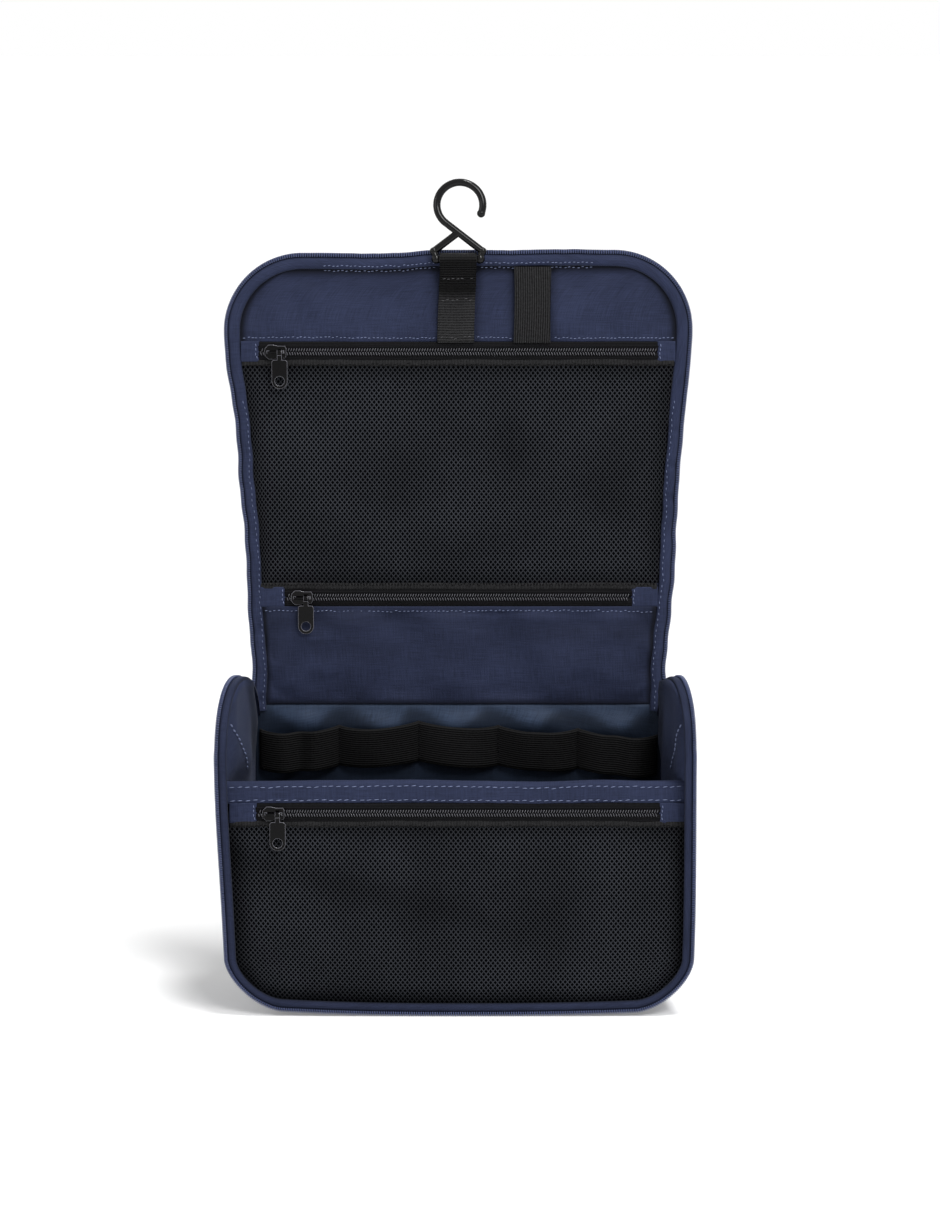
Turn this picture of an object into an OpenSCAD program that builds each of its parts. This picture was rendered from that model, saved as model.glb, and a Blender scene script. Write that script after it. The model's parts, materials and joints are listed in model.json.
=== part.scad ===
// Hanging toiletry bag, standing open: a tub with domed gussets, a lid that wraps over the domes,
// zipped mesh pockets, a band of elastic loops and a hook on a webbing loop.
// X runs to the right, Y to the back, Z up. The origin is on the ground under the middle of the tub.

/* [Tub] */
// Width across the front rim
tub_w = 250; // [220:1:300]
// Depth from the back face to the front rim
tub_d = 76; // [64:1:96]
// Width of the back panel at the fold line
fold_w = 225; // [200:1:270]
// Height of the fold line between back panel and lid
fold_h = 151; // [140:1:180]
// Height of the gusset domes over the zip
dome_h = 178; // [168:1:200]
// Distance of the domes' rear ends from the fold line
dome_setback = 6; // [4:0.5:12]
// Height of the front wall over its hem
front_h = 125; // [110:1:135]
// Distance of the front wall behind the front rim
front_recess = 11; // [11:0.5:20]
// Outer radius of the bottom corners
corner_r = 29; // [20:1:40]
// Thickness of the padded back and lid panels
pad_t = 4; // [2:0.5:6]
// Thickness of the gussets, the base and the front wall
wall_t = 2; // [1.5:0.5:3]
// Thickness of linings, mesh and sewn-on panels
cloth_t = 1.3; // [0.8:0.1:1.6]
// Height of the front wall's folded hem
hem_h = 11; // [8:0.5:14]

/* [Lid] */
// Length of the lid from the fold line to its free edge
lid_len = 250; // [240:1:290]
// Distance from the fold line at which the lid reaches the width of the rim
lid_wide_at = 204; // [180:1:210]
// Radius of the lid's free corners
lid_corner_r = 42; // [25:1:45]
// Width of the raised rim band
rim_w = 8.5; // [6:0.5:12]
// Height of the rim band over the lid's inner face
rim_t = 3; // [2:0.5:4]
// Distance from the fold line to the lower pocket's zip
lower_zip_at = 63; // [58:1:75]
// Distance from the fold line to the upper pocket's zip
upper_zip_at = 196; // [180:1:200]

/* [Zips] */
// Width of the window that a pocket zip fills
zip_window = 10; // [9.5:0.5:13]
// Length of the zips of the front and upper pockets
zip_len = 212; // [180:1:212]
// Length of the lower pocket's zip
short_zip_len = 186; // [150:1:190]
// Thickness of a zip tape
tape_t = 0.8; // [0.5:0.1:1]
// Width of one coil of a pocket zip
coil_w = 1.9; // [1.5:0.1:2.2]
// Height of a pocket zip's coils over the tape
coil_t = 1.4; // [1:0.1:1.8]
// Width of the main zip's tape round the rim
rim_tape_w = 5.6; // [4:0.1:8]
// Width of the main zip's coil
rim_coil_w = 2.6; // [2:0.1:3]
// Height of the main zip's coil over the tape
rim_coil_t = 1.6; // [1.2:0.1:2]
// Distance from a zip's end to the middle of its parked slider
slider_inset = 8.5; // [8:0.5:12]

/* [Slider and pull] */
// Length of a slider
slider_len = 11.5; // [11:0.5:14]
// Half width of a slider at its narrow end
slider_half = 3.3; // [3.2:0.1:3.6]
// Half width of a slider at its shoulders
shoulder_half = 3.9; // [3.7:0.1:4.4]
// Thickness of a slider's plates
plate_t = 0.7; // [0.6:0.1:0.9]
// Radius of the rod that the pull hangs on
rod_r = 0.65; // [0.5:0.05:0.8]
// Length of a pull from its rod to its end
pull_len = 19.5; // [15:0.5:24]
// Width of a pull
pull_w = 8.4; // [7:0.2:10]
// Thickness of a pull
pull_t = 1.2; // [1:0.1:1.6]
// Radius of the hole in a pull
pull_hole_r = 2.5; // [1.5:0.1:2.8]

/* [Loops and straps] */
// Height of the elastic loop band
loop_h = 25; // [15:1:35]
// Distance from the ground to the loop band
loop_z = 118; // [80:1:122]
// Depth of a loop
loop_depth = 9; // [7:0.5:10]
// Number of loops
loop_count = 5; // [3:1:6]
// Width of the stitched land between two loops
loop_land = 4; // [3:0.5:6]
// Width of the hanger webbing
webbing_w = 19.5; // [15:0.5:22]
// Width of the elastic strap
strap_w = 19.7; // [15:0.5:25]
// Distance of the elastic strap's middle from the bag's middle
strap_x = 39.3; // [28:0.5:60]
// Thickness of webbing and elastic
band_t = 1.2; // [0.8:0.1:1.4]

/* [Hook] */
// Diameter of the hook's rod
hook_d = 4; // [3:0.1:5]
// Radius of the ring's centre line
ring_r = 12.2; // [10:0.1:16]
// Height of the ring's centre over the bar
ring_rise = 29.1; // [27:0.1:36]
// Distance of the bar below the lid's free edge
bar_drop = 4.3; // [3.5:0.1:6]
// Distance between the middles of the bar's eyes
bar_len = 23.4; // [23:0.1:30]
// Distance of the ring's centre to the right of the bar's middle
ring_x = 0.9; // [0:0.1:3]
// Angle at which the standing hook leans back
hook_lean = 15; // [15:1:20]
// Direction at which the ring's tip ends
tip_angle = -22; // [-40:1:0]
// Direction at which the ring runs into the shank
shank_angle = 232; // [228:1:238]

/* [Hidden] */
$fn = 64;
seam = 0.3;
sliver = 0.05;
skin_gap = 0.1;
far = 400;

// Main planes of the tub
back_y = tub_d / 2;
fold_y = back_y - pad_t;
rim_y = -tub_d / 2;
flare = (tub_w - fold_w) / 2 / (fold_y - rim_y);
flare_angle = atan(flare);
function half_w(y) = fold_w / 2 + (fold_y - y) * flare;

// Gussets, inside the main zip that runs over their edges
dome_r = (fold_y - dome_setback - rim_y) / 2;
dome_y = rim_y + dome_r;
dome_z = dome_h - dome_r;
tape_r = dome_r - rim_coil_t;
gusset_r = tape_r - tape_t - seam;
gusset_front = dome_y - gusset_r;
gusset_rear = fold_y - seam;

// Front wall
front_y = rim_y + front_recess;
front_rear = front_y + wall_t;
front_half = half_w(front_rear) - wall_t - seam;
inner_r = corner_r - wall_t - seam;
inner_z = wall_t + seam;
front_zip_z = front_h - hem_h - seam - zip_window / 2;

// The lid wraps round the domes in two equal bends after it folds forward at the back panel.
// Its inner face then clears the zip on the domes by the height of its rim.
wrap_gap = 0.5;
wrap_r = dome_r + rim_t + wrap_gap;
fold_dist = norm([fold_y - dome_y, fold_h - dome_z]);
fold_angle = 90 - asin(wrap_r / fold_dist) + atan2(fold_h - dome_z, fold_y - dome_y);
bend_angle = (180 - fold_angle) / 2;
bend_reach = wrap_r * tan(bend_angle / 2);
bend_1 = sqrt(fold_dist * fold_dist - wrap_r * wrap_r) + bend_reach;
bend_2 = bend_1 + 2 * bend_reach;
bend_1_z = fold_h + bend_1;
bend_2_z = fold_h + bend_2;
// What stands on the lid's inner face keeps this far from each bend, by its height
function bend_room(height) = height * tan(bend_angle / 2) + seam;

// Lid
lid_top = fold_h + lid_len;
lid_half = tub_w / 2;
lid_zip_t = 2.1;
lower_zip_z = fold_h + lower_zip_at;
upper_zip_z = fold_h + upper_zip_at;
panel_inset = rim_w + seam;
lid_panel_y = fold_y - seam - cloth_t;

// Pocket zips: a tape stands off its panel to let the slider's back plate pass
chain_gap = 0.9;
stand_off = 1.2;
slide_gap = 0.2;
front_zip_y = front_y - stand_off;
lid_zip_y = fold_y - stand_off;
top_plate_y = -tape_t - coil_t - slide_gap;
eye_bore = rod_r + 0.3;
eye_r = eye_bore + 0.6;
rod_y = top_plate_y - plate_t - eye_r - seam;
nose_taper = 2;
waist_x = 1.2;
wedge_len = 1.6;
wedge_w = chain_gap - 2 * slide_gap;
rod_half = 4;
eye_half = 1.3;
neck_len = 2.4;
shoulder_r = 1.5;
eye_x = 2.2;
post_w = 1;
slider_x = -zip_len / 2 + slider_inset;
short_slider_x = -short_zip_len / 2 + slider_inset;

// Parked main sliders, on the short closed tails behind the domes
tail_y = fold_y - 10;
tail_z = dome_z - 14;
tail_len = 24;
main_rod_half = 2.6;

// Loops and straps
lining_y = gusset_rear - cloth_t + seam;
loop_back = lining_y - seam;
loop_span = 2 * (half_w(loop_back) - wall_t - 2 * seam);
loop_pitch = (loop_span - loop_land) / loop_count;
loop_chord = loop_pitch - loop_land;
loop_r = loop_chord * loop_chord / 8 / loop_depth + loop_depth / 2;

// Hook and hanger: the bar lies in front of the lid's rim
hook_r = hook_d / 2;
bar_z = lid_top - bar_drop;
bar_gap = 0.2;
bar_y = fold_y - rim_t - seam - band_t - bar_gap - hook_r;
corner_rise = 4.2;
knuckle = 1.12;
shank_r = hook_r * 0.97;
cheek_r = hook_r * 0.9;
tip_swell = 1.12;
webbing_slope = 14;
webbing_rise = 4;
eye_ball_r = 2.5;
strut_at = 8.5;

navy = "#2a3050";
dark_navy = "#1b2038";
charcoal = "#17181b";
black = "#0c0c0e";

// A flat outline in X and Z, with its front face at y0 and the thickness t to the back
module plate(y0, t) {
    translate([0, y0 + t, 0]) rotate([90, 0, 0]) linear_extrude(t) children();
}

// A profile in Y and Z, drawn along X from x0 to x1
module along_x(x0, x1) {
    translate([x0, 0, 0]) rotate([90, 0, 90]) linear_extrude(x1 - x0) children();
}

// A rectangle between two corners
module span(x0, z0, x1, z1) {
    translate([min(x0, x1), min(z0, z1)]) square([abs(x1 - x0), abs(z1 - z0)]);
}

// A rectangle across the middle, between two heights
module band(half, z0, z1) {
    span(-half, z0, half, z1);
}

// Tub outline: straight sides and two round bottom corners
module tub_outline(half, r, bottom, top) {
    band(half, bottom + r, top);
    band(half - r, bottom, top);
    for (side = [-1, 1]) translate([side * (half - r), bottom + r]) circle(r);
}

// Lid outline, drawn in by an inset from its sides and its free edge
module lid_outline(inset) {
    wide_z = fold_h + lid_wide_at;
    r = lid_corner_r - inset;
    low = fold_w / 2 - inset;
    high = lid_half - inset;
    arc_z = lid_top - lid_corner_r;
    polygon([[-low, fold_h], [low, fold_h], [high, wide_z], [-high, wide_z]]);
    band(high, wide_z, arc_z);
    band(high - r, wide_z, arc_z + r);
    for (side = [-1, 1]) translate([side * (high - r), arc_z]) circle(r);
}

// A part of the lid's outline between two heights
module lid_piece(inset, z0, z1) {
    intersection() {
        lid_outline(inset);
        band(far, z0, z1);
    }
}

// A strip along the lid's edge between two insets and two heights
module lid_edge(inset_out, inset_in, z0, z1) {
    intersection() {
        difference() {
            lid_outline(inset_out);
            lid_outline(inset_in);
        }
        band(far, z0, z1);
    }
}

// Body of the tub's walls, drawn in by an inset and lengthened at both ends
module tub_block(inset, extra) {
    hull() for (end = [gusset_front - extra, gusset_rear + extra - sliver])
        plate(end, sliver) tub_outline(half_w(end) - inset, corner_r - inset, inset, dome_h);
}

// Side wall that turns into the base along a round corner and ends in a dome
module gusset(side) {
    color(navy) mirror([side < 0 ? 1 : 0, 0, 0]) intersection() {
        difference() {
            tub_block(0, 0);
            tub_block(wall_t, pad_t);
        }
        along_x(0, far) {
            translate([dome_y, dome_z]) circle(gusset_r);
            span(gusset_front, 0, gusset_rear, dome_z);
        }
        linear_extrude(far) polygon([
            [half_w(gusset_front) - corner_r, gusset_front], [far, gusset_front],
            [far, gusset_rear], [half_w(gusset_rear) - corner_r, gusset_rear]
        ]);
    }
}

module left_gusset() {
    gusset(-1);
}

module right_gusset() {
    gusset(1);
}

module base_panel() {
    front = half_w(gusset_front) - corner_r - seam;
    rear = half_w(gusset_rear) - corner_r - seam;
    color(dark_navy) linear_extrude(wall_t) polygon([
        [-front, gusset_front], [front, gusset_front], [rear, gusset_rear], [-rear, gusset_rear]
    ]);
}

module back_panel() {
    color(navy) plate(fold_y, pad_t) tub_outline(fold_w / 2, corner_r, 0, fold_h - seam);
}

module back_lining() {
    half = half_w(gusset_rear) - wall_t - seam;
    top = fold_h - bend_room(cloth_t + seam) - seam;
    color(dark_navy) plate(lining_y, cloth_t - seam) tub_outline(half, inner_r, inner_z, top);
}

module front_panel() {
    color(dark_navy) plate(front_y, wall_t)
        tub_outline(front_half, inner_r, inner_z, front_h - cloth_t - seam);
}

// Hem folded over the front wall's top edge
module front_hem() {
    outer = cloth_t + seam;
    rear = front_rear + outer;
    half = min(front_half, half_w(rear) - wall_t);
    color(navy) along_x(-half, half) difference() {
        span(front_y - outer, front_h - hem_h, rear, front_h);
        span(front_y - seam, 0, front_rear + seam, front_h - cloth_t);
    }
}

module front_mesh() {
    top = front_zip_z - zip_window / 2 - seam;
    color(black) plate(front_y - seam - cloth_t, cloth_t)
        tub_outline(front_half, inner_r, inner_z, top);
}

// Two tape halves of a pocket zip, with the back of the tape at y = 0
module zip_tape(len) {
    color(charcoal) for (side = [-1, 1])
        plate(-tape_t, tape_t) span(-len / 2, side * chain_gap / 2, len / 2, side * zip_window / 2);
}

// Two coils of a pocket zip, on the front of the tape
module zip_coil(len) {
    color(black) for (side = [-1, 1])
        plate(-tape_t - coil_t, coil_t)
            span(-len / 2, side * chain_gap / 2, len / 2, side * (chain_gap / 2 + coil_w));
}

// Two fabric tabs at a zip's ends, out to the half width given
module zip_tabs(len, half) {
    color(navy) for (side = [-1, 1])
        plate(-tape_t, cloth_t)
            span(side * (len / 2 + seam), -zip_window / 2, side * half, zip_window / 2);
}

module at_front_zip() {
    translate([0, front_zip_y, front_zip_z]) children();
}

module at_lower_zip() {
    translate([0, lid_zip_y, lower_zip_z]) children();
}

module at_upper_zip() {
    translate([0, lid_zip_y, upper_zip_z]) children();
}

module front_zip_tape() {
    at_front_zip() zip_tape(zip_len);
}

module front_zip_coil() {
    at_front_zip() zip_coil(zip_len);
}

module front_zip_tabs() {
    at_front_zip() zip_tabs(zip_len, front_half);
}

// Half width inside the lid's rim at a height
function lid_inner_half(z) =
    fold_w / 2 + min(1, (z - fold_h) / lid_wide_at) * (tub_w - fold_w) / 2 - panel_inset;

module lower_zip_tape() {
    at_lower_zip() zip_tape(short_zip_len);
}

module lower_zip_coil() {
    at_lower_zip() zip_coil(short_zip_len);
}

module lower_zip_tabs() {
    at_lower_zip() zip_tabs(short_zip_len, lid_inner_half(lower_zip_z - zip_window / 2));
}

module upper_zip_tape() {
    at_upper_zip() zip_tape(zip_len);
}

module upper_zip_coil() {
    at_upper_zip() zip_coil(zip_len);
}

module upper_zip_tabs() {
    at_upper_zip() zip_tabs(zip_len, lid_inner_half(upper_zip_z - zip_window / 2));
}

// Elastic band sewn to the back wall, bowed forward between its stitched lands
module elastic_loops() {
    first = -(loop_span - loop_land) / 2;
    color(charcoal) translate([0, 0, loop_z]) linear_extrude(loop_h) {
        for (i = [0 : loop_count])
            translate([first + i * loop_pitch - loop_land / 2, loop_back - band_t])
                square([loop_land, band_t]);
        for (i = [0 : loop_count - 1]) translate([first + (i + 0.5) * loop_pitch, 0]) intersection() {
            translate([0, loop_back - band_t - loop_depth + loop_r]) difference() {
                circle(loop_r + band_t);
                circle(loop_r);
            }
            translate([-loop_pitch / 2, loop_back - loop_depth - 2 * band_t])
                square([loop_pitch, loop_depth + 2 * band_t]);
        }
    }
}

// A strip round the front rim and over the domes, from an inner to an outer distance to the dome's
// middle, and across the rim from inset_out to inset_in
module rim_strip(r_in, r_out, inset_out, inset_in) {
    plate(dome_y - r_out, r_out - r_in) difference() {
        tub_outline(tub_w / 2 - inset_out, corner_r - inset_out, inset_out, dome_z);
        tub_outline(tub_w / 2 - inset_in, corner_r - inset_in, inset_in, dome_h);
    }
    rear = dome_y + r_out;
    for (side = [-1, 1]) intersection() {
        along_x(-far, far) intersection() {
            translate([dome_y, dome_z]) difference() {
                circle(r_out);
                circle(r_in);
            }
            span(-far, dome_z, far, far);
        }
        linear_extrude(far) polygon([for (p = [[inset_out, rim_y], [inset_in, rim_y], [inset_in, rear],
            [inset_out, rear]]) [side * (half_w(p.y) - p.x), p.y]]);
    }
}

module main_zip_tape() {
    color(navy) rim_strip(tape_r - tape_t, tape_r, 0, rim_tape_w);
}

module main_zip_coil() {
    color(charcoal) rim_strip(tape_r + skin_gap, dome_r, seam, rim_coil_w);
}

// Places a zip on the right gusset's outer face, running down, with its back to the gusset
module at_tail() {
    translate([half_w(tail_y), tail_y, tail_z]) rotate([0, 0, 90 + flare_angle])
        translate([0, -stand_off, 0]) rotate([0, 90, 0]) children();
}

module both_sides() {
    children();
    mirror([1, 0, 0]) children();
}

module main_zip_tails() {
    both_sides() at_tail() {
        zip_tape(tail_len);
        zip_coil(tail_len);
    }
}

// Outline of a slider's plates: square at the narrow end, shoulders at the wide end
module slider_outline() {
    nose = slider_len / 2;
    half_outline = [
        [-nose, shoulder_half / 2], [-nose + nose_taper, shoulder_half], [-waist_x, shoulder_half],
        [waist_x, slider_half], [nose, slider_half]
    ];
    intersection() {
        union() for (side = [0, 1]) mirror([0, side])
            polygon(concat([[nose, 0], [-nose, 0]], half_outline));
        circle(nose + seam);
    }
}

// Two plates joined by a wedge between the coils, with flanges that turn in over the coils
module slider_body() {
    nose = slider_len / 2;
    lip = slider_half - chain_gap / 2 - coil_w - seam;
    plate(slide_gap, plate_t) slider_outline();
    plate(top_plate_y - plate_t, plate_t) slider_outline();
    plate(top_plate_y, slide_gap - top_plate_y) translate([-nose + nose_taper, -wedge_w / 2])
        square([wedge_len, wedge_w]);
    for (side = [-1, 1]) plate(top_plate_y, -top_plate_y - tape_t - seam)
        span(waist_x, side * (slider_half - lip), nose - post_w, side * slider_half);
}

// Arched bridge over a slider, with the round rod that carries the pull
module bridge(half) {
    for (side = [-1, 1]) translate([side * half, 0, 0]) {
        translate([-post_w / 2, rod_y, -rod_r]) cube([post_w, top_plate_y - plate_t - rod_y, 2 * rod_r]);
        translate([-post_w / 2, rod_y, 0]) rotate([0, 90, 0]) cylinder(r = rod_r, h = post_w);
    }
    translate([-half, rod_y, 0]) rotate([0, 90, 0]) cylinder(r = rod_r, h = 2 * half);
}

// Flat pull with a round end, hanging from an eye round the rod
module pull_shape() {
    half = pull_w / 2;
    top = -eye_r - neck_len;
    round_z = -pull_len + half;
    difference() {
        union() {
            plate(rod_y - pull_t / 2, pull_t) difference() {
                union() {
                    translate([0, round_z]) circle(half);
                    band(half, round_z, top - shoulder_r);
                    band(half - shoulder_r, top - shoulder_r, top);
                    for (side = [-1, 1])
                        translate([side * (half - shoulder_r), top - shoulder_r]) circle(shoulder_r);
                    band(eye_half, top - shoulder_r, 0);
                }
                translate([0, round_z]) circle(pull_hole_r);
            }
            translate([-eye_half, rod_y, 0]) rotate([0, 90, 0]) cylinder(r = eye_r, h = 2 * eye_half);
        }
        translate([-far, rod_y, 0]) rotate([0, 90, 0]) cylinder(r = eye_bore, h = 2 * far);
    }
}

module pocket_slider() {
    color(black) {
        slider_body();
        bridge(rod_half);
    }
}

module pocket_pull() {
    color(black) translate([eye_x, 0, 0]) pull_shape();
}

module front_slider() {
    at_front_zip() translate([slider_x, 0, 0]) pocket_slider();
}

module front_pull() {
    at_front_zip() translate([slider_x, 0, 0]) pocket_pull();
}

module lower_slider() {
    at_lower_zip() translate([short_slider_x, 0, 0]) pocket_slider();
}

module lower_pull() {
    at_lower_zip() translate([short_slider_x, 0, 0]) pocket_pull();
}

module upper_slider() {
    at_upper_zip() translate([slider_x, 0, 0]) pocket_slider();
}

module upper_pull() {
    at_upper_zip() translate([slider_x, 0, 0]) pocket_pull();
}

module right_main_slider() {
    color(black) at_tail() {
        slider_body();
        rotate([0, -90, 0]) bridge(main_rod_half);
    }
}

module right_main_pull() {
    color(black) at_tail() rotate([0, -90, 0]) pull_shape();
}

module left_main_slider() {
    mirror([1, 0, 0]) right_main_slider();
}

module left_main_pull() {
    mirror([1, 0, 0]) right_main_pull();
}

// Padded outer panel of the lid between two heights
module lid_shell(z0, z1) {
    color(navy) plate(fold_y, pad_t) lid_piece(0, z0 + seam, z1 - seam);
}

// Raised rim band inside the zip, between two heights
module lid_rim(z0, z1) {
    color(navy) plate(fold_y - rim_t, rim_t - seam)
        lid_edge(rim_coil_w + seam, rim_w, z0 + bend_room(rim_t), z1 - bend_room(rim_t));
}

// Lid's half of the main zip, along the outer edge, between two heights
module lid_zip(z0, z1) {
    room = bend_room(lid_zip_t + seam);
    color(charcoal) plate(fold_y - seam - lid_zip_t, lid_zip_t)
        lid_edge(0, rim_coil_w, z0 + room, z1 - room);
}

// Cloth on the lid's inner face, inside the rim, between two heights
module lid_cloth(z0, z1) {
    plate(lid_panel_y, cloth_t) lid_piece(panel_inset, z0, z1);
}

cloth_room = bend_room(cloth_t + seam);
zip_room = zip_window / 2 + seam;

module lid_lower_shell() {
    lid_shell(fold_h, bend_1_z);
}

module lid_lower_rim() {
    lid_rim(fold_h, bend_1_z);
}

module lid_lower_zip() {
    lid_zip(fold_h, bend_1_z);
}

module pocket_panel_lower() {
    color(navy) lid_cloth(fold_h + cloth_room, bend_1_z - cloth_room);
}

module lid_middle_shell() {
    lid_shell(bend_1_z, bend_2_z);
}

module lid_middle_rim() {
    lid_rim(bend_1_z, bend_2_z);
}

module lid_middle_zip() {
    lid_zip(bend_1_z, bend_2_z);
}

module pocket_panel_upper() {
    color(navy) lid_cloth(bend_1_z + cloth_room, lower_zip_z - zip_room);
}

module lid_mesh_lower() {
    color(black) lid_cloth(lower_zip_z + zip_room, bend_2_z - cloth_room);
}

module lid_upper_shell() {
    lid_shell(bend_2_z, lid_top + seam);
}

module lid_upper_rim() {
    lid_rim(bend_2_z, far + lid_top);
}

module lid_upper_zip() {
    lid_zip(bend_2_z, far + lid_top);
}

module lid_mesh_upper() {
    color(black) lid_cloth(bend_2_z + cloth_room, upper_zip_z - zip_room);
}

module lid_top_panel() {
    color(navy) lid_cloth(upper_zip_z + zip_room, lid_top);
}

// Webbing that comes up the lid, steps over the rim, turns round the hook's bar and comes back down
module hanger_webbing() {
    in_r = hook_r + bar_gap;
    out_r = in_r + band_t;
    face = lid_panel_y - seam;
    foot = upper_zip_z + zip_room;
    step = lid_top - rim_w - seam;
    color(charcoal) along_x(-webbing_w / 2, webbing_w / 2) difference() {
        union() {
            translate([bar_y, bar_z]) circle(out_r);
            polygon([
                [bar_y - out_r, bar_z], [face - band_t, bar_z - webbing_slope], [face - band_t, foot],
                [face, foot], [face, step - webbing_rise], [bar_y + out_r, step], [bar_y + out_r, bar_z]
            ]);
        }
        translate([bar_y, bar_z]) circle(in_r);
    }
}

module elastic_strap() {
    color(charcoal) plate(lid_panel_y - seam - band_t, band_t)
        span(strap_x - strap_w / 2, upper_zip_z + zip_room, strap_x + strap_w / 2, lid_top - rim_w - 1);
}

// A straight round rod between two points of the hook's plane
module rod(a, b, r) {
    length = norm(b - a);
    angle = atan2(b.y - a.y, b.x - a.x);
    translate([a.x, 0, a.y]) rotate([0, 90 - angle, 0]) cylinder(r = r, h = length);
    translate([b.x, 0, b.y]) sphere(r * knuckle);
}

// Moulded hook: open ring with a ball tip, slanted shank, strut and a bar between two eyes
module hook() {
    ring = [ring_x, ring_rise];
    run = [-sin(shank_angle), cos(shank_angle)];
    tip = ring + ring_r * [cos(tip_angle), sin(tip_angle)];
    leave = ring + ring_r * [cos(shank_angle), sin(shank_angle)];
    right = leave + run * (corner_rise - leave.y) / run.y;
    left = [-right.x, corner_rise];
    strut = leave + run * strut_at;
    eyes = [[bar_len / 2, 0], [-bar_len / 2, 0]];
    color(black) translate([0, bar_y, bar_z]) rotate([-hook_lean, 0, 0]) {
        translate([ring.x, 0, ring.y]) rotate([90, 0, 0]) rotate([0, 0, tip_angle])
            rotate_extrude(angle = shank_angle - tip_angle) translate([ring_r, 0]) circle(hook_r);
        translate([tip.x, 0, tip.y]) sphere(hook_r * tip_swell);
        rod(leave, right, shank_r);
        rod(strut, left, shank_r);
        rod(right, eyes[0], cheek_r);
        rod(left, eyes[1], cheek_r);
        rod(eyes[0], eyes[1], hook_r);
        for (eye = eyes) translate([eye.x, 0, eye.y]) sphere(eye_ball_r);
    }
}

back_panel();
back_lining();
left_gusset();
right_gusset();
base_panel();
front_panel();
front_hem();
front_mesh();
front_zip_tape();
front_zip_coil();
front_zip_tabs();
elastic_loops();
main_zip_tape();
main_zip_coil();
main_zip_tails();
left_main_slider();
right_main_slider();
left_main_pull();
right_main_pull();
lid_lower_shell();
lid_lower_rim();
lid_lower_zip();
pocket_panel_lower();
lid_middle_shell();
lid_middle_rim();
lid_middle_zip();
pocket_panel_upper();
lower_zip_tape();
lower_zip_coil();
lower_zip_tabs();
lid_mesh_lower();
lid_upper_shell();
lid_upper_rim();
lid_upper_zip();
lid_mesh_upper();
upper_zip_tape();
upper_zip_coil();
upper_zip_tabs();
lid_top_panel();
hanger_webbing();
elastic_strap();
hook();
front_slider();
lower_slider();
upper_slider();
front_pull();
lower_pull();
upper_pull();
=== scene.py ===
"""Cloth, nets, zips and stitching of a hanging toiletry bag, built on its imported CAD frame."""

import collections
import json
import math

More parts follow.
